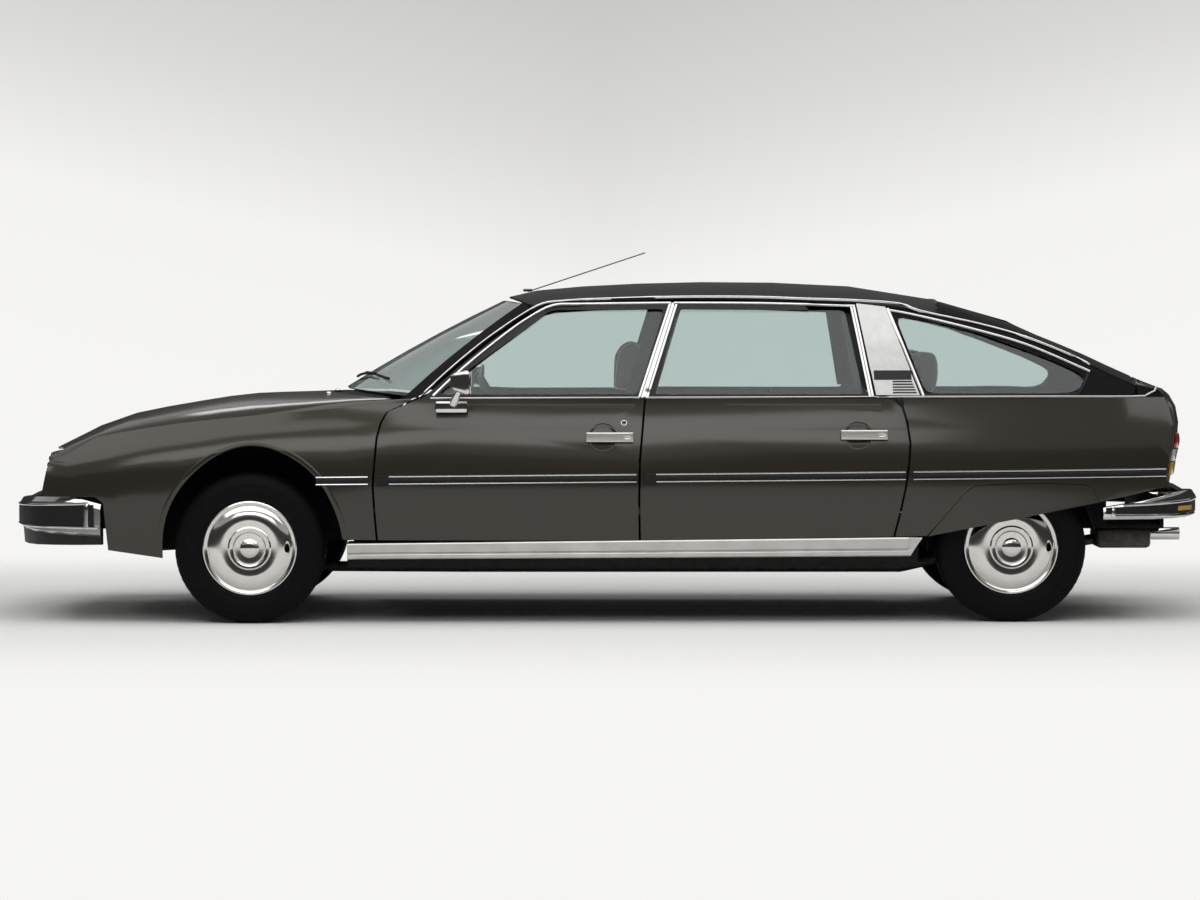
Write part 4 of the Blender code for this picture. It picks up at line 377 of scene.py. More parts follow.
def evened(heights, rounds=FLOW_ROUNDS):
    """Grid heights with their gaps filled from the neighbours and small unevenness taken out."""
    known = ~np.isnan(heights)
    values = np.where(known, heights, 0.0)
    weight = known.astype(float)
    size_a, size_b = values.shape
    for _ in range(rounds):
        wide_values = np.pad(values * weight, 1, mode="edge")
        wide_weight = np.pad(weight, 1, mode="edge")
        total = sum(wide_values[i:i + size_a, j:j + size_b] for i in range(3) for j in range(3))
        share = sum(wide_weight[i:i + size_a, j:j + size_b] for i in range(3) for j in range(3))
        values = np.where(share > 0, total / np.maximum(share, 1e-9), values)
        weight = np.minimum(1.0, share)
    return values


def slopes(low, high, cast):
    """Slopes of the evened body form over a grid of two of its directions."""
    first = np.arange(low[0], high[0], FLOW_STEP)
    second = np.arange(low[1], high[1], FLOW_STEP)
    heights = np.array([[cast(one, two) for two in second] for one in first])
    return np.gradient(evened(heights), FLOW_STEP)


def side_height(x, z):
    """How far the left flank stands out at a length and height."""
    spot = flank.ray_cast(Vector((x, OUTSIDE, z)), Vector((0, 1, 0)))[0]
    return -spot.y if spot is not None and spot.y < DEEPEST else math.nan


nose_top = search_tree(("bonnet", "wing_left"))


def top_height(x, across):
    """Height of the nose from above at a length and a distance from the middle."""
    spot = nose_top.ray_cast(Vector((x, -across, 2.0)), Vector((0, 0, -1)))[0]
    return spot.z if spot is not None and spot.z > 0.6 else math.nan


side_slopes = slopes(SIDE_LOW, SIDE_HIGH, side_height)
top_slopes = slopes(TOP_LOW, TOP_HIGH, top_height)


def sampled(grid, low, first, second):
    """Values of a grid between its points."""
    one = np.clip((first - low[0]) / FLOW_STEP, 0, grid.shape[0] - 1.001)
    two = np.clip((second - low[1]) / FLOW_STEP, 0, grid.shape[1] - 1.001)
    i, j = one.astype(int), two.astype(int)
    u, v = one - i, two - j
    near = grid[i, j] * (1 - v) + grid[i, j + 1] * v
    far = grid[i + 1, j] * (1 - v) + grid[i + 1, j + 1] * v
    return near * (1 - u) + far * u


def unit(vectors):
    """Vectors of length one."""
    return vectors / np.maximum(np.linalg.norm(vectors, axis=1), 1e-9)[:, None]


def flowing(piece):
    """Lets light flow evenly over a painted panel: its corners face as the evened body form does."""
    mesh = piece.data
    places = np.array([mesh.vertices[loop.vertex_index].co[:] for loop in mesh.loops])
    own = np.array([corner.vector[:] for corner in mesh.corner_normals])
    flat = np.array([face.normal[:] for face in mesh.polygons for _ in face.loop_indices])
    side = np.sign(places[:, 1])
    ahead, up = (sampled(grid, SIDE_LOW, places[:, 0], places[:, 2]) for grid in side_slopes)
    beside = unit(np.stack([-ahead, side, -up], 1))
    ahead, out = (sampled(grid, TOP_LOW, places[:, 0], np.abs(places[:, 1])) for grid in top_slopes)
    above = unit(np.stack([-ahead, -out * side, np.ones(len(side))], 1))
    beside_share = np.clip((np.abs(beside[:, 1]) - 0.60) / 0.25, 0, 1) * (places[:, 2] < BELT_LEVEL)
    beside_share *= (flat * beside).sum(1) > OWN_ANGLE
    beside_share *= np.clip((TAIL_END - places[:, 0]) / TAIL_BLEND, 0, 1)
    above_share = np.clip((above[:, 2] - 0.80) / 0.12, 0, 1) * (places[:, 0] < TOP_HIGH[0])
    above_share *= ((flat * above).sum(1) > OWN_ANGLE) * (1 - beside_share)
    own_share = 1 - beside_share - above_share
    facing = unit(beside * beside_share[:, None] + above * above_share[:, None] + own * own_share[:, None])
    mesh.normals_split_custom_set([tuple(row) for row in facing])


RECESS_RADIUS = 0.057
RECESS_DEPTH = 0.017
HANDLES = {"front": (-0.020, 0.758), "rear": (1.014, 0.764)}

for side in SIDES:
    for door in ("front", "rear"):
        node = door + "_door_" + side
        skin = copied(node, node + "_skin")
        x, z = HANDLES[door]
        level = on_side(x, z)[0].y * -SIGNS[side]
        bpy.ops.mesh.primitive_uv_sphere_add(segments=48, ring_count=24, location=(x, level, z),
                                             scale=(RECESS_RADIUS, RECESS_DEPTH, RECESS_RADIUS))
        carved(skin, bpy.context.object)
        rolled(skin)
        sliced(BELT_LEVEL)
        two_tone(skin, paint, frame_black, lambda centre: centre.z > BELT_LEVEL)
        weighed(skin)
        flowing(skin)
        fixed(skin, "paint", node, node)
    for stem in ("wing_", "wheel_cover_"):
        flowing(dressed(stem + side, paint, "paint", "body_shell"))
flowing(dressed("bonnet", paint, "paint", "bonnet"))
dressed("boot_lid", paint, "paint", "boot_lid")
dressed("tail_panel", paint, "paint", "body_shell")

# Vinyl roof
# Grained near-black vinyl glued over the roof, the screen posts and the rear pillars.
vinyl = surface("roof_vinyl", (0.0035, 0.0033, 0.0036), (0.006, 0.0058, 0.0062), 40, 0.66, grain=520,
                grain_depth=0.0006, specular=0.12)
dressed("roof", vinyl, "vinyl", "body_shell")
VINYL_FOOT = 0.928
CORNER_LEVEL, CORNER_REACH = 0.885, 2.292
for side in SIDES:
    node = "quarter_" + side
    skin = copied(node, node + "_skin")
    for vertex in skin.data.vertices:
        if vertex.co.z > CORNER_LEVEL:
            vertex.co.x = min(vertex.co.x, CORNER_REACH - 0.6 * (vertex.co.z - CORNER_LEVEL))
    rolled(skin)
    two_tone(skin, paint, vinyl, lambda centre: centre.z > VINYL_FOOT)
    weighed(skin)
    flowing(skin)
    fixed(skin, "paint", "body_shell", node)

# Glass
# Lightly green tinted panes; rays from the lamps pass straight through so that the cabin is lit.
GLASS_TINT = (0.65, 0.735, 0.725)


def pane_glass(name, tint, roughness=0.0):
    """Clear tinted glass that lets lamplight through."""
    made, tree, shader = new_material(name, {
        "Base Color": (*tint, 1), "Roughness": roughness, "IOR": 1.45, "Transmission Weight": 1.0})
    straight = added(tree, "BsdfTransparent", {"Color": (*tint, 1)})
    rays = added(tree, "LightPath")
    mixed = added(tree, "MixShader")
    wired(tree, (rays, "Is Shadow Ray", mixed, "Fac"), (shader, "BSDF", mixed, 1),
          (straight, "BSDF", mixed, 2), (mixed, "Shader", tree.nodes["Material Output"], "Surface"))
    return made


glass = pane_glass("green_glass", GLASS_TINT)
PANE_ROLL = 0.0006
PANES = [(node, "body_shell") for node in ("windscreen", "rear_window")]
for side in SIDES:
    PANES += [("quarter_glass_" + side, "body_shell"), ("front_door_glass_" + side, "front_door_" + side),
              ("rear_door_glass_" + side, "rear_door_" + side)]
for node, body in PANES:
    dressed(node, glass, "glass", body, PANE_ROLL, "_pane")

# Side brightwork
# Rolled stainless strips clipped over the roof gutters, door frames, belt line and quarter windows,
# each a crowned ribbon that leans with the panel under it.
bright = surface("bright_steel", (0.60, 0.60, 0.59), (0.66, 0.66, 0.65), 30, 0.13, metallic=1.0)
rubber = surface("seal_rubber", (0.008, 0.008, 0.008), (0.014, 0.014, 0.014), 80, 0.6, specular=0.25,
                 grain=900, grain_depth=0.0002)
STRIP_SPACING = 0.03


def arch(width, height, foot=0.004, steps=6):
    """Section of a crowned strip: half a flattened oval with its foot sunk into the panel."""
    half = width / 2
    crown = [(half * math.cos(math.pi * step / steps), height * math.sin(math.pi * step / steps))
             for step in range(steps + 1)]
    return [(half, -foot)] + crown + [(-half, -foot)]


def flat_bar(width, height, ease=0.001, foot=0.004):
    """Section of a flat strip with eased corners."""
    half = width / 2
    return [(half, -foot), (half, height - ease), (half - ease, height), (ease - half, height),
            (-half, height - ease), (-half, -foot)]


def eased_route(corners, spacing=STRIP_SPACING):
    """Points along a smooth curve through corners given as length and height."""
    path = [Vector(corner) for corner in corners]
    route = []
    for place in range(len(path) - 1):
        before = path[max(place - 1, 0)]
        start, end = path[place], path[place + 1]
        after = path[min(place + 2, len(path) - 1)]
        count = max(1, round((end - start).length / spacing))
        for step in range(count):
            t = step / count
            bend = (2 * before - 5 * start + 4 * end - after) * t ** 2
            twist = (3 * start - before - 3 * end + after) * t ** 3
            route.append(0.5 * ((2 * start) + (end - before) * t + bend + twist))
    return route + [path[-1]]


def steadied(spots):
    """The same places, with each facing averaged with its neighbours'."""
    calm = []
    for place, (spot, _) in enumerate(spots):
        nearby = spots[max(place - 2, 0):place + 3]
        calm.append((spot, sum((facing for _, facing in nearby), Vector()).normalized()))
    return calm


def laid(corners, spacing=STRIP_SPACING):
    """A route's places on the flank with the panel's facing, evened out along the way."""
    spots = [on_side(point[0], point[1]) for point in eased_route(corners, spacing)]
    return steadied(spots)


def shaped(name, shape):
    """A piece made of a finished form."""
    mesh = bpy.data.meshes.new(name)
    shape.to_mesh(mesh)
    shape.free()
    return new_piece(name, mesh)


def ringed(name, shape, rings):
    """A closed skin over a row of rings, with both ends shut."""
    for first, second in zip(rings, rings[1:]):
        for corner in range(len(first)):
            following = (corner + 1) % len(first)
            shape.faces.new((first[corner], first[following], second[following], second[corner]))
    shape.faces.new(rings[0])
    shape.faces.new(rings[-1])
    bmesh.ops.recalc_face_normals(shape, faces=shape.faces)
    return shaped(name, shape)


def strip(name, spots, section, finish):
    """A strip laid over spots on the bodywork; its section may change with the share of the way along."""
    shape = bmesh.new()
    rings = []
    for place, (spot, facing) in enumerate(spots):
        ahead = spots[min(place + 1, len(spots) - 1)][0]
        behind = spots[max(place - 1, 0)][0]
        along = (ahead - behind).normalized()
        across = along.cross(facing).normalized()
        rise = across.cross(along)
        corners = section(place / (len(spots) - 1)) if callable(section) else section
        rings.append([shape.verts.new(spot + across * side + rise * height) for side, height in corners])
    piece = ringed(name, shape, rings)
    smooth(piece)
    return tinted(piece, finish)


def joined(name, pieces):
    """Several pieces of one finish made one object."""
    bpy.ops.object.select_all(action="DESELECT")
    for piece in pieces:
        piece.select_set(True)
    bpy.context.view_layer.objects.active = pieces[0]
    bpy.ops.object.join()
    pieces[0].name = name
    return pieces[0]


def other_side(piece, name):
    """The mirror image of a left-hand piece."""
    twin = new_piece(name, piece.data.copy())
    twin.data.transform(Matrix.Scale(-1, 4, (0, 1, 0)))
    twin.data.flip_normals()
    return twin


def both_sides(name, pieces, slot, body):
    """Joins left-hand pieces, mirrors them and fixes each side to its own body."""
    left = joined(name + "_left", pieces)
    right = other_side(left, name + "_right")
    for made, side in ((left, "left"), (right, "right")):
        fixed(made, slot, body if body == "body_shell" else body + "_" + side)


GUTTER_LINE = ((-0.767, 0.916), (-0.630, 1.043), (-0.486, 1.160), (-0.344, 1.257), (-0.269, 1.297),
               (-0.194, 1.308), (-0.054, 1.316), (0.268, 1.325), (0.590, 1.325), (0.805, 1.318),
               (1.019, 1.311), (1.200, 1.297), (1.280, 1.268), (1.522, 1.215), (1.720, 1.158),
               (1.917, 1.078), (1.970, 1.048))
FRONT_FRAME_TOP = ((-0.710, 0.922), (-0.590, 1.034), (-0.425, 1.168), (-0.321, 1.241), (-0.226, 1.289),
                   (-0.112, 1.295), (0.257, 1.2995))
FRONT_FRAME_REAR = ((0.262, 1.2995), (0.133, 0.9165))
REAR_FRAME_FRONT = ((0.277, 1.2995), (0.153, 0.915))
REAR_FRAME_TOP = ((0.270, 1.2995), (0.640, 1.2975), (1.012, 1.287))
REAR_FRAME_REAR = ((1.003, 1.290), (1.071, 0.921))
FRONT_BELT = ((-0.720, 0.9125), (0.128, 0.9150))
REAR_BELT = ((0.153, 0.9150), (1.085, 0.9175))
TAIL_BELT = ((1.090, 0.9175), (1.700, 0.9185), (2.140, 0.918), (2.200, 0.924), (2.235, 0.940),
             (2.242, 0.955))
DOUBLE_WIDTH = 0.021
double = flat_bar(DOUBLE_WIDTH, 0.003)
crowned = arch(0.0085, 0.0045)
frame_strip = arch(0.0125, 0.005)
belt_strip = arch(0.0085, 0.005)

BRIGHT_RUNS = (("gutter_bright", "body_shell", ((GUTTER_LINE, crowned),)),
               ("front_door_bright", "front_door", ((FRONT_FRAME_TOP, frame_strip),
                                                    (FRONT_FRAME_REAR, double), (FRONT_BELT, belt_strip))),
               ("rear_door_bright", "rear_door", ((REAR_FRAME_FRONT, double), (REAR_FRAME_TOP, frame_strip),
                                                  (REAR_FRAME_REAR, double), (REAR_BELT, belt_strip))),
               ("tail_belt_bright", "body_shell", ((TAIL_BELT, belt_strip),)))
for name, body, runs in BRIGHT_RUNS:
    both_sides(name, [strip("run", laid(route), section, bright) for route, section in runs], "bright", body)


def lifted(spots, height):
    """The same spots raised off the panel."""
    return [(spot + facing * height, facing) for spot, facing in spots]


groove = flat_bar(0.003, 0.0006, 0.0002, 0.002)
GROOVE_LIFT = 0.003
GROOVES = {"front_door": (FRONT_FRAME_REAR,), "rear_door": (REAR_FRAME_FRONT, REAR_FRAME_REAR)}
for body, routes in GROOVES.items():
    lines = [strip("groove", lifted(laid(route), GROOVE_LIFT), groove, rubber) for route in routes]
    both_sides(body + "_groove", lines, "black_plastic", body)

QUARTER_LEG = ((1.147, 1.276), (1.283, 0.922))
QUARTER_TOP = ((1.140, 1.272), (1.260, 1.250), (1.500, 1.192), (1.720, 1.127), (1.970, 1.020))
QUARTER_BASE = ((1.285, 0.926), (1.600, 0.926), (1.880, 0.928), (1.925, 0.944), (1.965, 1.015))
quarter_set = [strip("leg", laid(QUARTER_LEG), arch(0.014, 0.005), bright),
               strip("top", laid(QUARTER_TOP), arch(0.0115, 0.006), bright)]
both_sides("quarter_bright", quarter_set, "bright", "body_shell")
both_sides("quarter_seal", [strip("base", laid(QUARTER_BASE), flat_bar(0.012, 0.003), rubber)],
           "black_plastic", "body_shell")

# Rear pillar panel
# A thin fluted stainless pressing over the pillar between rear door and quarter window, with a bare
# black plate and black lines low down.
PANEL_TOP = ((1.021, 1.294), (1.136, 1.281))
PANEL_FOOT = ((1.090, 0.9235), (1.268, 0.9225))
FLUTES = 15
FLUTE_DEPTH = 0.0014
PANEL_ROWS = 20
FLUTE_STEPS = 6
satin = surface("satin_steel", (0.44, 0.44, 0.43), (0.50, 0.50, 0.49), 24, 0.34, metallic=0.85)


def thickened(piece, thickness):
    """Gives a sheet its thickness."""
    thick = piece.modifiers.new("thick", "SOLIDIFY")
    thick.thickness = thickness
    apply_all(piece)


def panel_spot(across, down):
    """A place on the pillar panel: shares across and down."""
    top = Vector(PANEL_TOP[0]).lerp(Vector(PANEL_TOP[1]), across)
    foot = Vector(PANEL_FOOT[0]).lerp(Vector(PANEL_FOOT[1]), across)
    place = top.lerp(foot, down)
    return on_side(place.x, place.y)


shape = bmesh.new()
columns = FLUTES * FLUTE_STEPS
PANEL_LIFT = 0.002
FLUTES_END, FLUTES_FADE = 0.74, 30
rows = []
for row in range(PANEL_ROWS + 1):
    down = row / PANEL_ROWS
    line = []
    for column in range(columns + 1):
        spot, facing = panel_spot(column / columns, down)
        crest = abs(math.sin(math.pi * column / FLUTE_STEPS)) ** 0.7
        height = PANEL_LIFT + FLUTE_DEPTH * crest * min(1, max(0, (FLUTES_END - down) * FLUTES_FADE))
        line.append(shape.verts.new(spot + facing * height))
    rows.append(line)
for upper, lower in zip(rows, rows[1:]):
    for column in range(columns):
        shape.faces.new((upper[column], upper[column + 1], lower[column + 1], lower[column]))
panel = shaped("pillar_panel", shape)
thickened(panel, 0.004)
smooth(panel)
tinted(panel, satin)
both_sides("pillar_panel", [panel], "bright", "body_shell")
PLATE_LINE = ((1.0835, 1.0035), (1.2360, 1.0035))
MARK_LINES = 5
MARK_LEVEL, MARK_STEP = 0.9325, 0.0112
MARK_START, MARK_END, MARK_TAPER = 1.159, 1.256, 0.0045
PLATE_LIFT = 0.0075
plate_bar = flat_bar(0.041, 0.0012)
mark_bar = flat_bar(0.0055, 0.0006, 0.0002, 0.002)
marks = [strip("plate", lifted(laid(PLATE_LINE), PLATE_LIFT), plate_bar, frame_black)]
for count in range(MARK_LINES):
    level = MARK_LEVEL + MARK_STEP * count
    route = ((MARK_START, level), (MARK_END - MARK_TAPER * count, level))
    marks.append(strip("mark", lifted(laid(route), PLATE_LIFT), mark_bar, frame_black))
both_sides("pillar_plate", marks, "black_plastic", "body_shell")

# Rub strips
# A black rubber rail between two bright edges along the middle of the flank, with black end blocks.
RUB_FRONT, RUB_REAR = (-1.0, 0.582), (2.27, 0.610)
RUB_RUNS = (("wing", "body_shell", -1.180, -0.970), ("front_door", "front_door", -0.930, 0.115),
            ("rear_door", "rear_door", 0.150, 1.205), ("quarter", "body_shell", 1.237, 2.270))
RUB_EDGE_OFFSET = 0.0145
RUB_EDGE_WIDTH = 0.0085
RUB_CORE_WIDTH = 0.0205
BLOCK_LENGTH = 0.045


def rub_line(start, end, offset=0.0):
    """A stretch of the rub strip's line, which rises gently to the rear."""
    slope = (RUB_REAR[1] - RUB_FRONT[1]) / (RUB_REAR[0] - RUB_FRONT[0])
    middle = (start + end) / 2
    return laid([(x, RUB_FRONT[1] + slope * (x - RUB_FRONT[0]) + offset) for x in (start, middle, end)])


for name, body, start, end in RUB_RUNS:
    edges = [strip("edge", rub_line(start, end, offset), arch(RUB_EDGE_WIDTH, 0.006), bright)
             for offset in (RUB_EDGE_OFFSET, -RUB_EDGE_OFFSET)]
    both_sides(name + "_rub_edges", edges, "bright", body)
    core = [strip("core", rub_line(start, end), arch(RUB_CORE_WIDTH, 0.0085), rubber)]
    if name.endswith("door"):
        core.append(strip("block", rub_line(start - 0.002, start + BLOCK_LENGTH),
                          flat_bar(0.040, 0.0105, 0.003), rubber))
    both_sides(name + "_rub_core", core, "black_plastic", body)

# Sills
# A ribbed stainless kick panel along each sill below the doors, over black underseal.
SILL_ENDS = ((-1.056, 0.325, 0.261), (1.250, 0.350, 0.273))
SILL_STATIONS = 60
SILL_SECTION = ((1.0, -0.004), (1.0, 0.003), (0.93, 0.006), (0.44, 0.006), (0.40, 0.0045), (0.37, 0.0005),
                (0.33, 0.0005), (0.30, 0.0045), (0.26, 0.006), (0.06, 0.006), (0.0, 0.002), (0.0, -0.004))
sill_tree = search_tree(("floor_pan", "roof"))
shape = bmesh.new()
rings = []
for place in range(SILL_STATIONS + 1):
    share = place / SILL_STATIONS
    front, rear = SILL_ENDS
    x = front[0] + (rear[0] - front[0]) * share
    top = front[1] + (rear[1] - front[1]) * share
    foot = front[2] + (rear[2] - front[2]) * share
    ring = []
    for level, out in SILL_SECTION:
        z = foot + (top - foot) * level
        lean = 0.045 * (level - 0.5) * max(0.0, (share - 0.97) / 0.03)
        hit = sill_tree.ray_cast(Vector((x + lean, OUTSIDE, min(z, 0.322))), Vector((0, 1, 0)))[0]
        level_y = hit.y if hit is not None and hit.y < -0.8 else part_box("floor_pan")[0].y
        ring.append(shape.verts.new((x + lean, level_y - out, z)))
    rings.append(ring)
sill = ringed("sill_panel", shape, rings)
smooth(sill, math.radians(20))
brushed = surface("brushed_sill_steel", (0.50, 0.49, 0.47), (0.58, 0.57, 0.55), 12, 0.28, metallic=1.0)
tinted(sill, brushed)
both_sides("sill_panel", [sill], "bright", "body_shell")

# Door handles
# A chromed bar over a dished recess with a thin bright ring, fixed at both ends, and a round lock on the
# front doors.
HANDLE_BARS = {"front": (-0.089, 0.105, 0.757), "rear": (0.942, 1.135, 0.766)}
BAR_HEIGHT = 0.040
BAR_DEPTH = 0.013
BAR_STANDOFF = 0.009
FOOT_INSET = 0.012
FOOT_HALF = 0.009
LOCK_PLACE = (0.065, 0.814)
LOCK_RADIUS = 0.011
chrome = surface("handle_chrome", (0.68, 0.67, 0.65), (0.72, 0.71, 0.69), 40, 0.09, metallic=1.0)
satin_chrome = surface("satin_chrome", (0.62, 0.60, 0.57), (0.66, 0.64, 0.61), 40, 0.36, metallic=1.0)
ring_steel = surface("ring_steel", (0.10, 0.10, 0.095), (0.13, 0.13, 0.12), 40, 0.35, metallic=1.0)


def settled():
    """The primitive just made, with its place, turn and size taken into its mesh."""
    piece = bpy.context.object
    select_only(piece)
    bpy.ops.object.transform_apply(location=True, rotation=True, scale=True)
    return piece


def rounded_block(name, low, high, roll, segments=4):
    """A block with well rounded edges, grown from a cube."""
    low, high = Vector(low), Vector(high)
    bpy.ops.mesh.primitive_cube_add(size=1, location=(low + high) / 2, scale=high - low)
    piece = settled()
    piece.name = name
    rolled(piece, roll, math.radians(30), segments)
    return piece


def ring_on_side(name, x, z, radius, thickness, finish):
    """A round bead lying on the flank around a place."""
    spot, facing = on_side(x, z)
    bpy.ops.mesh.primitive_torus_add(major_radius=radius, minor_radius=thickness, major_segments=64,
                                     minor_segments=10, location=spot)
    bpy.context.object.rotation_euler = facing.to_track_quat("Z", "Y").to_euler()
    ring = settled()
    ring.name = name
    smooth(ring, math.radians(60))
    return tinted(ring, finish)


for door, (start, end, level) in HANDLE_BARS.items():
    face = on_side((start + end) / 2, level)[0].y
    bar = rounded_block("handle_bar", (start, face - BAR_STANDOFF - BAR_DEPTH, level - BAR_HEIGHT / 2),
                        (end, face - BAR_STANDOFF, level + BAR_HEIGHT / 2), 0.006, 5)
    bpy.ops.mesh.primitive_uv_sphere_add(segments=32, ring_count=16, scale=(0.019, 0.005, 0.009),
                                         location=(end - 0.026, face - BAR_STANDOFF - BAR_DEPTH, level))
    carved(bar, bpy.context.object)
    smooth(bar, math.radians(40))
    feet = []
    for x in (start + FOOT_INSET, end - FOOT_INSET):
        feet.append(rounded_block("handle_foot", (x - FOOT_HALF, face - BAR_STANDOFF - 0.004, level - 0.011),
                                  (x + FOOT_HALF, face + 0.006, level + 0.011), 0.003))
    handle = [tinted(piece, satin_chrome) for piece in [bar] + feet]
    x, z = HANDLES[door]
    handle.append(ring_on_side("recess_ring", x, z, RECESS_RADIUS, 0.0018, ring_steel))
    if door == "front":
        handle.append(ring_on_side("lock_ring", *LOCK_PLACE, LOCK_RADIUS, 0.0022, chrome))
        spot, facing = on_side(*LOCK_PLACE)
        lock = rounded_block("lock_barrel", spot - Vector((LOCK_RADIUS, 0.0012, LOCK_RADIUS)) * 0.8,
                             spot + Vector((LOCK_RADIUS, 0.004, LOCK_RADIUS)) * 0.8, 0.0006, 2)
        handle.append(tinted(lock, chrome))
    both_sides(door + "_door_handle", handle, "bright", door + "_door")

# Door mirrors
# Chromed mirror heads with rounded corners on a stalk that rises from a foot under the belt strip.
MIRROR_HEAD = ((-0.634, -0.984, 0.927), (-0.553, -0.858, 1.030))
MIRROR_GLASS = ((-0.5535, -0.977, 0.934), (-0.5500, -0.865, 1.023))
MIRROR_FOOT = ((-0.698, -0.880, 0.855), (-0.568, -0.846, 0.903))
MIRROR_GASKET = ((-0.694, -0.858, 0.858), (-0.572, -0.838, 0.899))
HEAD_MIDDLE = (0.915, 0.990)
HEAD_TAPER, HEAD_CURVE = 0.42, 1.5
STALK_RADIUS = 0.0125
for side in SIDES:
    sign = SIGNS[side]

    def mirrored_block(name, corners, roll, segments=4):
        """A rounded block of the left mirror, or its image on the right."""
        (x0, y0, z0), (x1, y1, z1) = corners
        across = sorted((y0 * -sign, y1 * -sign))
        return rounded_block(name, (x0, across[0], z0), (x1, across[1], z1), roll, segments)

    head = mirrored_block("head", MIRROR_HEAD, 0.018, 6)
    for vertex in head.data.vertices:
        forward = (MIRROR_HEAD[1][0] - vertex.co.x) / (MIRROR_HEAD[1][0] - MIRROR_HEAD[0][0])
        middle = Vector((vertex.co.x, sign * HEAD_MIDDLE[0], HEAD_MIDDLE[1]))
        vertex.co = vertex.co.lerp(middle, HEAD_TAPER * max(forward, 0.0) ** HEAD_CURVE)
    foot = mirrored_block("foot", MIRROR_FOOT, 0.009)
    low_end = Vector((-0.625, sign * 0.866, 0.890))
    high_end = Vector((-0.600, sign * 0.900, 0.952))
    bpy.ops.mesh.primitive_cone_add(vertices=24, radius1=STALK_RADIUS * 1.5, radius2=STALK_RADIUS,
                                    depth=(high_end - low_end).length, location=(low_end + high_end) / 2,
                                    rotation=(high_end - low_end).to_track_quat("Z", "Y").to_euler())
    stalk = settled()
    rolled(stalk, 0.001, math.radians(40))
    case = joined("mirror_case_" + side, [tinted(piece, chrome) for piece in (head, foot, stalk)])
    fixed(case, "bright", "front_door_" + side, "mirror_" + side)
    pane = tinted(mirrored_block("mirror_glass_" + side, MIRROR_GLASS, 0.0008, 2), chrome)
    fixed(pane, "bright", "front_door_" + side)
    gasket = mirrored_block("mirror_gasket_" + side, MIRROR_GASKET, 0.004)
    fixed(tinted(gasket, rubber), "black_plastic", "front_door_" + side)

# Wheels and tyres
# Pressed steel wheels with polished full covers, domed boss and raised rings, in radial tyres with
# ribbed sidewalls and blocked tread; each is turned about its axle.
FRONT_AXLE = Vector((-1.452, 0.760, 0.306))
REAR_AXLE = Vector((1.643, 0.684, 0.306))
COVER_SECTION = ((0.0, 0.0985), (0.012, 0.0980), (0.023, 0.0960), (0.032, 0.0920), (0.0365, 0.0875),
                 (0.0385, 0.0862), (0.050, 0.0868), (0.0600, 0.0880), (0.0655, 0.0878), (0.0670, 0.0866),
                 (0.0690, 0.0880), (0.0750, 0.0905), (0.0820, 0.0908), (0.0865, 0.0886), (0.0885, 0.0868),
                 (0.0960, 0.0880), (0.1100, 0.0896), (0.1250, 0.0893), (0.1400, 0.0866), (0.1540, 0.0812),
                 (0.1650, 0.0748), (0.1700, 0.0712), (0.1725, 0.0702), (0.1745, 0.0716), (0.1800, 0.0752),
                 (0.1860, 0.0765), (0.1905, 0.0752), (0.1935, 0.0715), (0.1940, 0.0670))
STEEL_SECTION = ((0.0270, 0.010), (0.060, 0.010), (0.090, 0.026), (0.130, 0.022), (0.150, 0.028),
                 (0.164, 0.030), (0.168, 0.054), (0.176, 0.062), (0.1905, 0.064), (0.1905, 0.070),
                 (0.172, 0.068), (0.163, 0.058), (0.158, 0.036), (0.158, -0.020), (0.170, -0.034),
                 (0.172, -0.064), (0.1905, -0.066), (0.1905, -0.071), (0.168, -0.070), (0.164, -0.038),
                 (0.152, -0.022), (0.152, 0.016), (0.128, 0.016), (0.090, 0.018), (0.060, 0.002),
                 (0.0270, 0.002))
SIDEWALL = ((0.1915, 0.0700), (0.1950, 0.0775), (0.2010, 0.0830), (0.2040, 0.0866), (0.2075, 0.0868),
            (0.2100, 0.0862), (0.2240, 0.0905), (0.2370, 0.0922), (0.2400, 0.0925), (0.2430, 0.0915),
            (0.2560, 0.0905), (0.2590, 0.0915), (0.2620, 0.0908), (0.2740, 0.0862), (0.2840, 0.0815),
            (0.2920, 0.0760), (0.2985, 0.0690), (0.3025, 0.0620))
TREAD_HALF = ((0.3042, 0.0585), (0.3050, 0.0440), (0.2985, 0.0432), (0.2985, 0.0382), (0.3055, 0.0374),
              (0.3060, 0.0150), (0.2990, 0.0142), (0.2990, 0.0090), (0.3060, 0.0082))
TYRE_STEPS = 216
SLOT_EVERY = 4
SLOT_DEPTH = 0.006
tyre_rubber = surface("tyre_rubber", (0.0028, 0.0026, 0.0030), (0.0045, 0.0043, 0.0047), 60, 0.6,
                      specular=0.10, grain=700, grain_depth=0.0002)
wheel_enamel = surface("wheel_enamel", (0.10, 0.10, 0.10), (0.14, 0.14, 0.14), 50, 0.45)
cover_steel = surface("cover_steel", (0.66, 0.645, 0.62), (0.70, 0.685, 0.66), 20, 0.13, metallic=1.0)


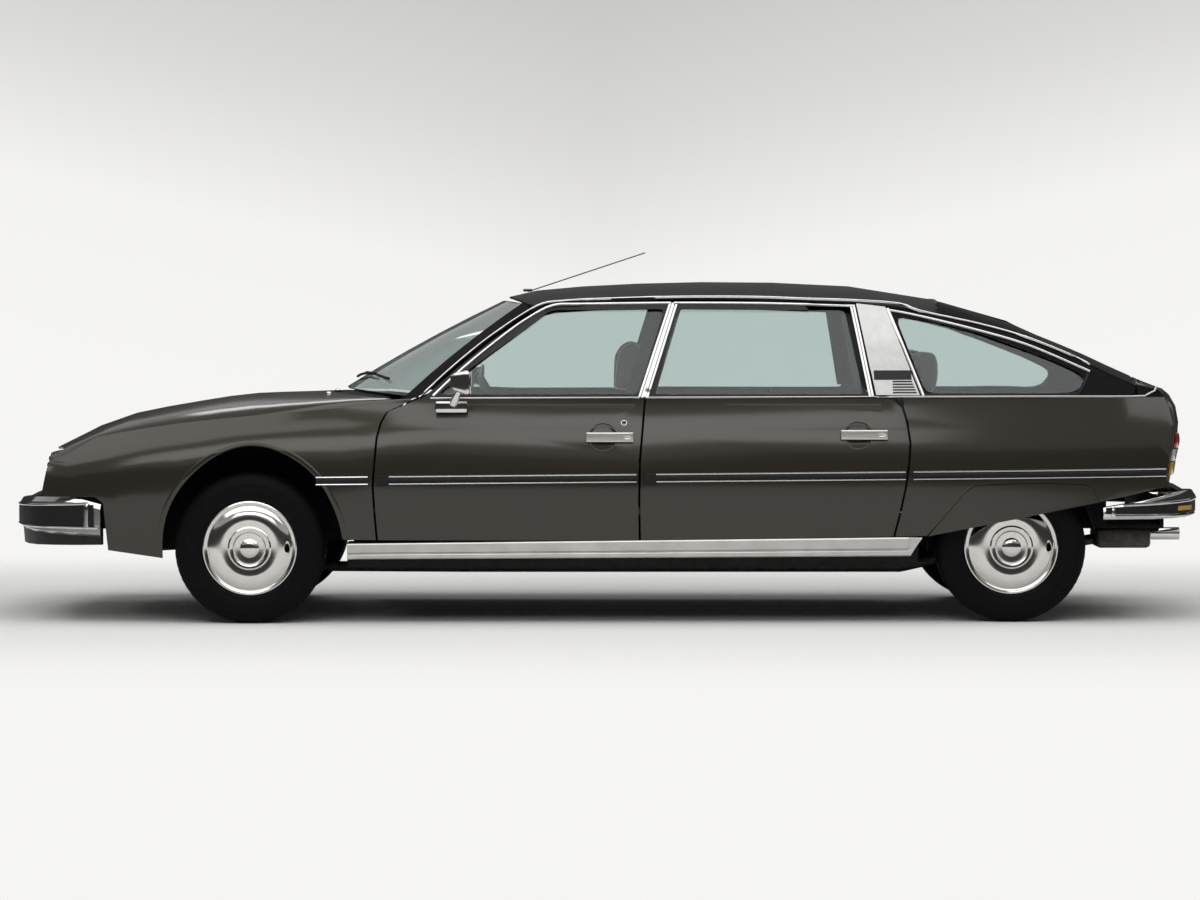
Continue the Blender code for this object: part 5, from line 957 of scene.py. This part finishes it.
def turned(name, section, centre, steps, closed=False):
    """A left-hand shape turned about its axle: section corners are a radius and a place outboard."""
    corners = [(centre.x + radius, -(centre.y + out), centre.z) for radius, out in section]
    edges = [(place, place + 1) for place in range(len(corners) - 1)]
    if closed:
        edges.append((len(corners) - 1, 0))
    mesh = bpy.data.meshes.new(name)
    mesh.from_pydata(corners, edges, [])
    piece = new_piece(name, mesh)
    whole_mesh_in_edit()
    bpy.ops.mesh.spin(steps=steps, angle=2 * math.pi, center=(centre.x, 0, centre.z), axis=(0, 1, 0))
    bpy.ops.mesh.select_all(action="SELECT")
    bpy.ops.mesh.remove_doubles(threshold=0.00001)
    bpy.ops.mesh.normals_make_consistent(inside=False)
    bpy.ops.object.mode_set(mode="OBJECT")
    smooth(piece, math.radians(28))
    return piece


def wheel_cover(centre):
    """A polished cover with a slot for the valve, its lip, and a thin turned-in edge."""
    cover = turned("cover", COVER_SECTION, centre, 96)
    thickened(cover, 0.0012)
    slot_x = centre.x + 0.152
    slot_y = -(centre.y + 0.082)
    bpy.ops.mesh.primitive_cylinder_add(vertices=32, radius=0.011, depth=0.06,
                                        location=(slot_x, slot_y, centre.z), rotation=(math.pi / 2, 0, 0))
    hole = bpy.context.object
    hole.scale = (1.0, 1.9, 1.0)
    carved(cover, hole)
    smooth(cover, math.radians(28))
    bpy.ops.mesh.primitive_torus_add(major_radius=0.0125, minor_radius=0.0026, major_segments=48,
                                     minor_segments=10, location=(slot_x, slot_y + 0.0005, centre.z),
                                     rotation=(math.pi / 2, 0, 0))
    bpy.context.object.scale = (1.0, 1.85, 1.0)
    lip = settled()
    smooth(lip, math.radians(60))
    return [tinted(cover, cover_steel), tinted(lip, cover_steel)]


def tyre(centre, width_share):
    """A tyre with ribbed sidewalls, four grooves round the tread and slots across its blocks."""
    outer = [(radius, out * width_share) for radius, out in SIDEWALL + TREAD_HALF]
    inner = [(radius, -out) for radius, out in reversed(outer)]
    piece = turned("tyre", outer + inner, centre, TYRE_STEPS, closed=True)
    turn = 2 * math.pi / TYRE_STEPS
    for part in list(piece.data.vertices) + list(piece.data.edges):
        part.select = False
    for face in piece.data.polygons:
        dx, dz = face.center.x - centre.x, face.center.z - centre.z
        out = -face.center.y - centre.y
        rib = int(abs(out) > 0.0270 * width_share) + 2 * int(out > 0)
        place = int((math.atan2(dz, dx) + math.pi) / turn + 0.01 + rib)
        on_rib = math.hypot(dx, dz) > 0.3030 and abs(out) > 0.0084 * width_share
        face.select = on_rib and place % SLOT_EVERY == 0
    bpy.ops.object.mode_set(mode="EDIT")
    bpy.ops.mesh.select_mode(type="FACE")
    bpy.ops.mesh.extrude_region_shrink_fatten(TRANSFORM_OT_shrink_fatten={"value": -SLOT_DEPTH})
    bpy.ops.object.mode_set(mode="OBJECT")
    smooth(piece, math.radians(28))
    return tinted(piece, tyre_rubber)


for name, centre, width_share in (("front", FRONT_AXLE, 1.0), ("rear", REAR_AXLE, 0.93)):
    sunk = Vector((centre.x, centre.y - 0.0065 * (1 - width_share) / 0.07, centre.z))
    sets = (("tyre", [tyre(centre, width_share)], "tyre", "_tyre_"),
            ("steel_wheel", [tinted(turned("steel", STEEL_SECTION, sunk, 64, closed=True), wheel_enamel)],
             "dark_metal", "_wheel_"),
            ("wheel_disc_cover", wheel_cover(sunk), "bright", ""))
    for kind, pieces, slot, node in sets:
        left = joined(name + "_" + kind + "_left", pieces)
        right = other_side(left, name + "_" + kind + "_right")
        for made, side in ((left, "left"), (right, "right")):
            fixed(made, slot, name + "_wheel_" + side, *([name + node + side] if node else []))

# Wheel arch liners
# Black undersealed inner arches, a half drum with an inner wall behind each wheel.
ARCH_STEPS = 36
FRONT_ARCH = Vector((-1.440, 0.760, 0.312))
underseal = surface("underseal", (0.006, 0.006, 0.006), (0.012, 0.012, 0.012), 25, 0.75, specular=0.15,
                    grain=220, grain_depth=0.0012)


def arch_liner(name, centre, radius, inner, outer, start, end):
    """A half drum over a wheel, closed on its inner side, from one angle to another."""
    shape = bmesh.new()
    rim = []
    for step in range(ARCH_STEPS + 1):
        angle = start + (end - start) * step / ARCH_STEPS
        x = centre.x + radius * math.cos(angle)
        z = centre.z + radius * math.sin(angle)
        rim.append((shape.verts.new((x, -outer, z)), shape.verts.new((x, -inner, z))))
    for first, second in zip(rim, rim[1:]):
        shape.faces.new((first[0], first[1], second[1], second[0]))
    shape.faces.new([inner_rim for _, inner_rim in rim])
    bmesh.ops.recalc_face_normals(shape, faces=shape.faces)
    piece = shaped(name, shape)
    thickened(piece, 0.003)
    smooth(piece, math.radians(30))
    return tinted(piece, underseal)


LINERS = (("front_arch_liner", FRONT_ARCH, 0.412, 0.475, 0.800, 0.02, math.pi + 0.09),
          ("rear_arch_liner", REAR_AXLE, 0.345, 0.560, 0.775, 0.20, math.pi + 0.05))
for name, centre, radius, inner, outer, start, end in LINERS:
    liner = arch_liner("liner", centre, radius, inner, outer, start, end)
    both_sides(name, [liner], "dark_metal", "body_shell")

LIP_STEPS = 72
LIP_EASE = 5
LIP_START, LIP_END, LIP_PROBE = 0.33, 0.47, 0.002
LIP_OUTSET = 0.007


def arch_lip(name, centre, low, high):
    """A rolled painted flange along the wheel opening, on a smooth line through its edge."""
    turns = [low + (high - low) * step / LIP_STEPS for step in range(LIP_STEPS + 1)]
    radii = []
    for turn in turns:
        radius = LIP_START
        while radius < LIP_END:
            radius += LIP_PROBE
            place = (centre.x + radius * math.cos(turn), centre.z + radius * math.sin(turn))
            if not math.isnan(side_height(*place)):
                break
        radii.append(radius)
    for _ in range(LIP_EASE):
        nearby = [radii[max(i - 2, 0):i + 3] for i in range(len(radii))]
        radii = [sum(group) / len(group) for group in nearby]
    spots = [on_side(centre.x + (radius + LIP_OUTSET) * math.cos(turn),
                     centre.z + (radius + LIP_OUTSET) * math.sin(turn)) for turn,
                     radius in zip(turns, radii)]
    return strip(name, lifted(spots, 0.0003), arch(0.022, 0.0022, 0.006), paint)


both_sides("front_arch_lip", [arch_lip("lip", FRONT_ARCH, 0.10, math.pi - 0.06)], "paint", "body_shell")

# Bumpers
# Chromed steel blades wrapped round nose and tail with black rubber facings in a bright frame; a black
# apron under the front one, and an amber reflector in each rear corner.
APRON_TOP = 0.383
APRON_DROP = 0.033
FACING_STEPS = 46
plastic = surface("black_plastic", (0.010, 0.010, 0.010), (0.018, 0.018, 0.018), 50, 0.5, specular=0.3,
                  grain=600, grain_depth=0.0002)


def around(node, middle_x, heading, spread, level, steps=FACING_STEPS):
    """Places round the outer face of a bumper: rays aimed at its middle from one side to the other."""
    tree = search_tree((node,))
    spots = []
    for step in range(steps + 1):
        share = step / steps
        angle = heading - spread + 2 * spread * share
        z = level(abs(2 * share - 1)) if callable(level) else level
        aim = Vector((math.cos(angle), math.sin(angle), 0))
        middle = Vector((middle_x, 0, z))
        spot, facing, _, _ = tree.ray_cast(middle + aim * 3, -aim)
        if spot is not None:
            facing.z = 0
            spots.append((spot, facing.normalized()))
    return steadied(spots)


def upright(node, middle_x, heading, low, high, steps=8):
    """Places up the outer face of a bumper in one direction."""
    spots = []
    for step in range(steps + 1):
        level = low + (high - low) * step / steps
        spots += around(node, middle_x, heading, 0.0, level, 1)[:1]
    return spots


blade = copied("front_bumper", "front_bumper_blade")
rolled(blade, 0.005, math.radians(25), 3)
two_tone(blade, bright, plastic, lambda centre: centre.z < APRON_TOP - APRON_DROP * abs(centre.y))
weighed(blade)
fixed(blade, "bright", "body_shell", "front_bumper")


def wedge(front_height, end_height, raise_by, ease=0.003):
    """Section of a facing that grows taller towards the bumper's two ends."""
    def section(share):
        height = front_height + (end_height - front_height) * abs(2 * share - 1) ** 2.0
        return flat_bar(height, raise_by, ease)
    return section


def level_between(front_level, end_level):
    """A height that changes from mid width to the bumper's ends."""
    return lambda share: front_level + (end_level - front_level) * share ** 2.0


FRAME_REACH = 0.02
UPRIGHT_INSET = 0.03
FACING_RAISE = 0.006
UPRIGHT_RAISE = 0.010


def bumper_trim(node, heading, middle_x, spread, levels, heights, frames, upright_span, upright_width):
    """A bumper's rubber facing in its bright frame; levels and heights are for mid width and the ends."""
    line = around(node, middle_x, heading, spread, level_between(*levels))
    facing = strip(node + "_facing", line, wedge(*heights, FACING_RAISE), rubber)
    fixed(facing, "black_plastic", "body_shell")
    frame_parts = []
    for frame_levels, section in frames:
        route = around(node, middle_x, heading, spread + FRAME_REACH, level_between(*frame_levels))
        frame_parts.append(strip("frame", route, arch(*section), bright))
    for aim in (heading - spread + UPRIGHT_INSET, heading + spread - UPRIGHT_INSET):
        post = upright(node, middle_x, aim, *upright_span)
        frame_parts.append(strip("upright", post, arch(upright_width, UPRIGHT_RAISE), bright))
    fixed(joined(node + "_frame", frame_parts), "bright", "body_shell")
    return line


FRONT_TRIM = {"heading": math.pi, "middle_x": -1.600, "spread": math.radians(60.5),
              "levels": (0.4265, 0.4390), "heights": (0.062, 0.088),
              "frames": (((0.4640, 0.488), (0.014, 0.009)), ((0.3895, 0.389), (0.014, 0.009))),
              "upright_span": (0.392, 0.486), "upright_width": 0.024}
REAR_TRIM = {"heading": 0.0, "middle_x": 1.600, "spread": math.radians(62.0),
             "levels": (0.4640, 0.4550), "heights": (0.058, 0.026),
             "frames": (((0.4985, 0.4715), (0.016, 0.010)), ((0.4285, 0.4335), (0.014, 0.009))),
             "upright_span": (0.430, 0.474), "upright_width": 0.020}
BLADE_ROLL = 0.005
bumper_trim("front_bumper", **FRONT_TRIM)
dressed("rear_bumper", bright, "bright", "body_shell", BLADE_ROLL, "_blade")
rear_line = bumper_trim("rear_bumper", **REAR_TRIM)
amber = surface("amber_lens", (0.55, 0.30, 0.03), (0.66, 0.38, 0.05), 90, 0.25, coat=0.6)
REFLECTOR_START, REFLECTOR_END = 7, 11
reflectors = [strip("amber", lifted(spots, FACING_RAISE), flat_bar(0.018, 0.0015), amber)
              for spots in (rear_line[REFLECTOR_START:REFLECTOR_END],
                            rear_line[-REFLECTOR_END:-REFLECTOR_START])]
fixed(joined("rear_reflectors", reflectors), "red_lens", "body_shell")

# Nose
# A black slatted grille between wide ribbed headlamps, each lamp a bright bowl behind ribbed glass in a
# chromed surround.
dressed("grille", plastic, "black_plastic", "body_shell", 0.0008, "_slats")
ribbed_glass = pane_glass("ribbed_lamp_glass", (0.93, 0.94, 0.95), 0.05)
tree = ribbed_glass.node_tree
place = added(tree, "TexCoord")
flutes = added(tree, "TexWave", {"Scale": 28.0})
flutes.bands_direction = "Y"
flutes_bump = added(tree, "Bump", {"Distance": 0.0015})
wired(tree, (place, "Object", flutes, "Vector"), (flutes, "Fac", flutes_bump, "Height"),
      (flutes_bump, "Normal", tree.nodes["Principled BSDF"], "Normal"))
BOWL_SHRINK = 0.10
for side in SIDES:
    node = "headlamp_" + side
    bowl = copied(node, node + "_bowl")
    low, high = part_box(node)
    socket = Vector((high.x, (low.y + high.y) / 2, (low.z + high.z) / 2))
    for vertex in bowl.data.vertices:
        vertex.co = vertex.co.lerp(socket, BOWL_SHRINK)
    rolled(bowl, 0.002)
    tinted(bowl, cover_steel)
    fixed(bowl, "bright", "body_shell")
    lens = copied(node, node + "_lens")
    rolled(lens, 0.004, CREASE, 3)
    tinted(lens, ribbed_glass)
    fixed(lens, "clear_lens", "body_shell", node)

# Tail lamps
# Three moulded lenses one above the other on each side: amber, clear and red, in a bright surround.
red = surface("red_lens", (0.30, 0.012, 0.010), (0.42, 0.02, 0.015), 90, 0.18, coat=0.8)
clear_lens = surface("reversing_lens", (0.55, 0.55, 0.55), (0.65, 0.65, 0.65), 90, 0.2, coat=0.8)
LENS_SHARES = ((0.02, 0.32, amber), (0.35, 0.62, clear_lens), (0.65, 0.98, red))
for side in SIDES:
    node = "tail_lamp_" + side
    low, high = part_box(node)
    for count, (foot, head, finish) in enumerate(LENS_SHARES):
        lens = copied(node, "%s_lens_%d" % (node, count))
        for share, keep_above in ((foot, True), (head, False)):
            sliced(low.z + (high.z - low.z) * share, use_fill=True, clear_inner=keep_above,
                   clear_outer=not keep_above)
        rolled(lens, 0.0025)
        tinted(lens, finish)
        fixed(lens, "red_lens", "body_shell", *(() if count else (node,)))

# Seats
# Deep foam cushions under grey-olive cloth with sewn channels: two front seats with headrests and a rear
# bench with two, each pad swollen slightly under its cover.
SEAT_Y = 0.370
SEAT_HALF = 0.245
CUSHION_SIDE = ((-0.615, 0.300), (-0.130, 0.300), (-0.120, 0.380), (-0.190, 0.480), (-0.400, 0.505),
                (-0.600, 0.495), (-0.622, 0.420))
BACK_SIDE = ((-0.110, 0.330), (-0.010, 0.360), (0.090, 0.880), (0.060, 0.905), (0.005, 0.895),
             (-0.165, 0.480))
HEAD_SIDE = ((0.030, 0.945), (0.140, 0.935), (0.146, 1.100), (0.125, 1.128), (0.080, 1.128), (0.036, 1.085))
BENCH_SIDE = ((0.705, 0.290), (1.215, 0.290), (1.225, 0.440), (1.100, 0.500), (0.760, 0.492), (0.700, 0.430))
BENCH_BACK_SIDE = ((1.245, 0.420), (1.286, 0.420), (1.286, 0.670), (1.318, 0.885), (1.245, 0.915),
                   (1.140, 0.520))
BENCH_HEAD_SIDE = ((1.256, 0.925), (1.340, 0.915), (1.364, 0.985), (1.360, 1.075), (1.330, 1.096),
                   (1.262, 1.085))
PAD_VOXEL = 0.012
HEAD_VOXEL = 0.006
PAD_CAP = 0.014
HEAD_CAP = 0.004
PAD_FRAMES = 20
cloth = surface("seat_cloth", (0.062, 0.056, 0.045), (0.080, 0.073, 0.060), 260, 0.92, specular=0.15,
                sheen=0.35, grain=900, grain_depth=0.0007)
tree = cloth.node_tree
weave_bump = tree.nodes["Principled BSDF"].inputs["Normal"].links[0].from_node
place = added(tree, "TexCoord")
channels = added(tree, "TexWave", {"Scale": 2.6})
channels.bands_direction = "Y"
channels_bump = added(tree, "Bump", {"Distance": 0.006, "Strength": 0.5})
wired(tree, (place, "Object", channels, "Vector"), (channels, "Fac", channels_bump, "Height"),
      (weave_bump, "Normal", channels_bump, "Normal"),
      (channels_bump, "Normal", tree.nodes["Principled BSDF"], "Normal"))
piping = surface("seat_piping", (0.26, 0.24, 0.21), (0.32, 0.30, 0.26), 120, 0.7, specular=0.2)


def side_block(name, outline, low_y, high_y, roll, segments=4):
    """A block with a side outline of lengths and heights between two widths, its edges rounded."""
    shape = bmesh.new()
    ring = [shape.verts.new((x, low_y, z)) for x, z in outline]
    cap = shape.faces.new(ring)
    pushed = bmesh.ops.extrude_face_region(shape, geom=[cap])
    bmesh.ops.translate(shape, vec=(0, high_y - low_y, 0),
                        verts=[part for part in pushed["geom"] if isinstance(part, bmesh.types.BMVert)])
    bmesh.ops.recalc_face_normals(shape, faces=shape.faces)
    piece = shaped(name, shape)
    rolled(piece, roll, math.radians(20), segments)
    return piece


def stuffed(name, outline, low_y, high_y, voxel, cap, roll=0.035):
    """A foam pad: an even mesh whose cover swells a little under pressure, in its cloth."""
    pad = side_block(name, outline, low_y, high_y, roll)
    remesh = pad.modifiers.new("even", "REMESH")
    remesh.mode = "VOXEL"
    remesh.voxel_size = voxel
    apply_all(pad)
    start = [vertex.co.copy() for vertex in pad.data.vertices]
    swell = pad.modifiers.new("swell", "CLOTH")
    swell.settings.use_pressure = True
    swell.settings.uniform_pressure_force = 4.0
    swell.settings.effector_weights.gravity = 0
    for count in range(1, PAD_FRAMES + 1):
        bpy.context.scene.frame_set(count)
    seen = pad.evaluated_get(bpy.context.evaluated_depsgraph_get())
    swollen = [vertex.co.copy() for vertex in seen.data.vertices]
    pad.modifiers.remove(swell)
    bpy.context.scene.frame_set(1)
    for vertex, old, new in zip(pad.data.vertices, start, swollen):
        move = new - old
        vertex.co = old + move * min(1.0, cap / max(move.length, cap / 100))
    finer = pad.modifiers.new("finer", "SUBSURF")
    finer.levels = finer.render_levels = 1
    apply_all(pad)
    smooth(pad, math.radians(80))
    return tinted(pad, cloth)


def seat_set(node, pads):
    """Pads of one seat: the CAD node is hidden, and each pad takes a name that starts with the node's and
    moves with the body shell.
    """
    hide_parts(node)
    for pad in pads:
        pad.name = "%s_%s" % (node, pad.name)
        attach(pad, "body_shell")


HEAD_HALF = 0.112
SEAM_HALF = 0.106
BENCH_HALF = 0.620
BENCH_HEAD_Y = 0.36
SEAT_WELT = 0.012
low_y, high_y = -SEAT_Y - SEAT_HALF, -SEAT_Y + SEAT_HALF
pad_low, pad_high = low_y + SEAT_WELT, high_y - SEAT_WELT
head_low, head_high = -SEAT_Y - HEAD_HALF, -SEAT_Y + HEAD_HALF
left_pads = [stuffed("cushion", CUSHION_SIDE, pad_low, pad_high, PAD_VOXEL, PAD_CAP),
             stuffed("back", BACK_SIDE, pad_low, pad_high, PAD_VOXEL, PAD_CAP),
             stuffed("headrest", HEAD_SIDE, head_low, head_high, HEAD_VOXEL, HEAD_CAP, 0.026)]
right_pads = [other_side(pad, pad.name + "_right") for pad in left_pads]
seat_set("front_seat_left", left_pads)
seat_set("front_seat_right", right_pads)
POST_SPACING, POST_RADIUS, POST_LENGTH = 0.055, 0.005, 0.10
POST_X, POST_Z = 0.075, 0.915
BASE_SIDE = ((-0.600, 0.250), (-0.130, 0.250), (-0.110, 0.302), (-0.610, 0.302))
BASE_HALF = 0.20
HINGE_SIDE = ((-0.180, 0.300), (-0.060, 0.300), (-0.055, 0.430), (-0.120, 0.440))
HINGE_INNER, HINGE_OUTER = 0.008, 0.020
posts = []
for y in (-SEAT_Y - POST_SPACING, -SEAT_Y + POST_SPACING):
    bpy.ops.mesh.primitive_cylinder_add(vertices=16, radius=POST_RADIUS, depth=POST_LENGTH,
                                        location=(POST_X, y, POST_Z))
    posts.append(tinted(settled(), chrome))
base = side_block("seat_base", BASE_SIDE, -SEAT_Y - BASE_HALF, -SEAT_Y + BASE_HALF, 0.008)
hinge = side_block("seat_side", HINGE_SIDE, low_y + HINGE_INNER, low_y + HINGE_OUTER, 0.004)
both_sides("front_seat_frame", posts + [tinted(base, plastic), tinted(hinge, plastic)], "black_plastic",
           "body_shell")
bench_pads = [stuffed("cushion", BENCH_SIDE, -BENCH_HALF, BENCH_HALF, PAD_VOXEL, PAD_CAP),
              stuffed("back", BENCH_BACK_SIDE, -BENCH_HALF, BENCH_HALF, PAD_VOXEL, 0.008, 0.022)]
for y in (-BENCH_HEAD_Y, BENCH_HEAD_Y):
    bench_pads.append(stuffed("headrest", BENCH_HEAD_SIDE, y - HEAD_HALF, y + HEAD_HALF, HEAD_VOXEL,
                              HEAD_CAP, 0.022))
seat_set("rear_seat", bench_pads)


def bead(name, corners, radius, finish, closed=False, order=12):
    """A thin round bead along a smooth line through some corners."""
    curve = bpy.data.curves.new(name, "CURVE")
    curve.dimensions = "3D"
    curve.bevel_depth = radius
    curve.bevel_resolution = 3
    curve.resolution_u = order
    curve.use_fill_caps = True
    line = curve.splines.new("NURBS")
    line.points.add(len(corners) - 1)
    for point, corner in zip(line.points, corners):
        point.co = (*corner, 1)
    line.order_u = 3
    line.use_endpoint_u = True
    line.use_cyclic_u = closed
    shape = new_piece(name, curve)
    bpy.ops.object.convert(target="MESH")
    smooth(shape, math.radians(50))
    return tinted(shape, finish)


for stem, outline, middle in (("front", HEAD_SIDE, -SEAT_Y), ("rear", BENCH_HEAD_SIDE, -BENCH_HEAD_Y)):
    seams = [bead("seam", [(x, middle + edge, z) for x, z in outline], 0.0028, piping, closed=True)
             for edge in (-SEAM_HALF, SEAM_HALF)]
    both_sides(stem + "_headrest_piping", seams, "cloth", "body_shell")

# Cabin linings
# Dark moulded dashboard with a hood and slatted vents, a single-spoke steering wheel, cloth door cards with
# arm rests, pillar trims and a dark parcel shelf.
dark_trim = surface("dark_trim", (0.020, 0.021, 0.022), (0.032, 0.033, 0.034), 80, 0.6, specular=0.3,
                    grain=500, grain_depth=0.0004)
carpet = surface("carpet", (0.020, 0.018, 0.015), (0.036, 0.032, 0.027), 300, 0.95, specular=0.1, sheen=0.3,
                 grain=800, grain_depth=0.0015)
dressed("dashboard", dark_trim, "black_plastic", "body_shell", 0.012, "_board")
dressed("steering_wheel", plastic, "black_plastic", "body_shell", 0.004, "_rim")
dressed("parcel_shelf", carpet, "black_plastic", "body_shell", 0.003, "_lining")
HOOD_SIDE = ((-0.900, 0.834), (-0.715, 0.832), (-0.735, 0.868), (-0.840, 0.872))
HOOD_FROM, HOOD_TO = -0.60, -0.14
hood = side_block("instrument_hood", HOOD_SIDE, HOOD_FROM, HOOD_TO, 0.012)
fixed(tinted(hood, dark_trim), "black_plastic", "body_shell")
VENTS = (("gauge_left", -0.36), ("vent_middle", 0.20), ("vent_right", 0.45))
VENT_HALF = 0.080
SLAT_LEVEL, SLAT_STEP, SLAT_HEIGHT = 0.700, 0.016, 0.009
SLATS = 4
for name, y in VENTS:
    slats = []
    for row in range(SLATS):
        level = SLAT_LEVEL + SLAT_STEP * row
        slat = rounded_block("slat", (-0.650, y - VENT_HALF, level),
                             (-0.640, y + VENT_HALF, level + SLAT_HEIGHT), 0.003)
        slats.append(tinted(slat, plastic))
    fixed(joined(name, slats), "black_plastic", "body_shell")

DOOR_CARDS = {"front": ((-0.900, 0.420), (-0.020, 0.420), (0.110, 0.890), (-0.660, 0.890), (-0.800, 0.800)),
              "rear": ((0.150, 0.420), (0.920, 0.420), (1.110, 0.720), (1.110, 0.890), (0.170, 0.890))}
CARD_FACE = {"front": 0.7500, "rear": 0.7450}
for door, outline in DOOR_CARDS.items():
    tree_door = search_tree((door + "_door_left",))
    centre_x = sum(x for x, _ in outline) / len(outline)
    hit = tree_door.ray_cast(Vector((centre_x, -0.3, 0.62)), Vector((0, -1, 0)))[0]
    face_y = hit.y if hit is not None else -CARD_FACE[door]
    card = side_block("card", outline, face_y + 0.0005, face_y + 0.012, 0.003)
    rest_low, rest_high = outline[0][0] + 0.18, outline[2][0] - 0.12
    pull_low, pull_high = rest_low + 0.05, rest_low + 0.16
    rest = rounded_block("arm_rest", (rest_low, face_y + 0.006, 0.660), (rest_high, face_y + 0.052, 0.705),
                         0.012)
    pull = rounded_block("door_pull", (pull_low, face_y + 0.008, 0.755), (pull_high, face_y + 0.022, 0.775),
                         0.005)
    both_sides(door + "_door_card", [tinted(card, cloth), tinted(rest, dark_trim), tinted(pull, chrome)],
               "cloth", door + "_door")

PILLAR_TRIM = ((0.955, 0.545, 1.258), (1.150, 0.545, 1.258), (1.235, 0.625, 0.940), (1.010, 0.625, 0.940))
mesh = bpy.data.meshes.new("pillar_trim")
mesh.from_pydata([(x, -y, z) for x, y, z in PILLAR_TRIM], [], [(0, 1, 2, 3)])
trim = new_piece("pillar_trim", mesh)
thickened(trim, 0.006)
rolled(trim, 0.002)
both_sides("pillar_trim", [tinted(trim, dark_trim)], "black_plastic", "body_shell")

# Underside
# Satin black floor, subframe, knuckles and trailing arms, a plain engine block, and a dull steel exhaust
# that ends in a chromed tailpipe.
exhaust_steel = surface("exhaust_steel", (0.060, 0.055, 0.050), (0.11, 0.10, 0.09), 30, 0.55, metallic=0.8,
                        grain=200, grain_depth=0.0004)
cast_iron = surface("cast_iron", (0.060, 0.060, 0.058), (0.10, 0.098, 0.094), 60, 0.6, metallic=0.6,
                    grain=300, grain_depth=0.0006)
TAILPIPE_START = 2.235
for node in ("floor_pan", "boot_tub", "bulkhead", "front_frame", "rear_axle"):
    dressed(node, underseal, "dark_metal", "body_shell", 0.003, "_dressed")
for side in SIDES:
    dressed("knuckle_" + side, cast_iron, "dark_metal", "knuckle_" + side, 0.002, "_casting")
dressed("engine", cast_iron, "dark_metal", "body_shell", 0.02, "_block")
pipe = copied("exhaust", "exhaust_system")
rolled(pipe, 0.003)
two_tone(pipe, exhaust_steel, chrome, lambda centre: centre.x > TAILPIPE_START)
fixed(pipe, "metal", "body_shell", "exhaust")

# Rear window header
# A thick black rubber moulding where the vinyl roof meets the top edge of the rear window.
HEADER_X = 1.371
HEADER_HALF = 0.49
HEADER_STEPS = 14
header_tree = search_tree(("roof", "rear_window"))
HEADER_PROBE = 0.02
HEADER_LOWEST = 1.2
HEADER_SUNK = 0.010
header_line = []
for step in range(HEADER_STEPS + 1):
    across = -HEADER_HALF + 2 * HEADER_HALF * step / HEADER_STEPS
    levels = [header_tree.ray_cast(Vector((HEADER_X + shift, across, 2.0)), Vector((0, 0, -1)))[0]
              for shift in (-HEADER_PROBE, 0.0, HEADER_PROBE)]
    levels = [spot.z for spot in levels if spot is not None and spot.z > HEADER_LOWEST]
    if levels:
        header_line.append((HEADER_X, across, max(levels) - HEADER_SUNK))
fixed(bead("rear_header", header_line, 0.011, rubber), "black_plastic", "body_shell")

# Windscreen fittings
# A single long wiper parked along the foot of the screen, two washer jets on the bonnet's rear edge and
# a thin whip antenna on a ball foot at the front of the roof.
screen = search_tree(("windscreen",))


def on_screen(x, y, height=0.0):
    """A place on the windscreen's outer face, lifted off it."""
    spot, normal, _, _ = screen.ray_cast(Vector((x, y, 2.0)), Vector((0, 0, -1)))
    if spot is None:
        return None
    return spot + normal * height


WIPER_ARM = ((-1.055, 0.05, 0.016), (-1.020, -0.12, 0.020), (-0.960, -0.33, 0.016))
WIPER_BLADE = ((-1.020, 0.02, 0.009), (-0.985, -0.22, 0.009), (-0.900, -0.50, 0.009))
arm_points = [on_screen(*place) for place in WIPER_ARM]
blade_points = [on_screen(*place) for place in WIPER_BLADE]
wiper = [bead("arm", [point for point in arm_points if point], 0.0055, plastic),
         bead("blade", [point for point in blade_points if point], 0.0065, plastic)]
fixed(joined("wiper", wiper), "black_plastic", "body_shell")
lid = search_tree(("bonnet",))
jets = []
for y in (-0.30, 0.30):
    spot = lid.ray_cast(Vector((-1.165, y, 2.0)), Vector((0, 0, -1)))[0]
    if spot is not None:
        bpy.ops.mesh.primitive_uv_sphere_add(segments=20, ring_count=10, radius=0.009, location=spot)
        bpy.context.object.scale = (1.3, 1.0, 0.9)
        jet = settled()
        smooth(jet, math.radians(60))
        jets.append(tinted(jet, chrome))
fixed(joined("washer_jets", jets), "bright", "bonnet")
antenna = copied("antenna", "antenna_whip")
smooth(antenna, math.radians(40))
fixed(tinted(antenna, ring_steel), "bright", "body_shell", "antenna")
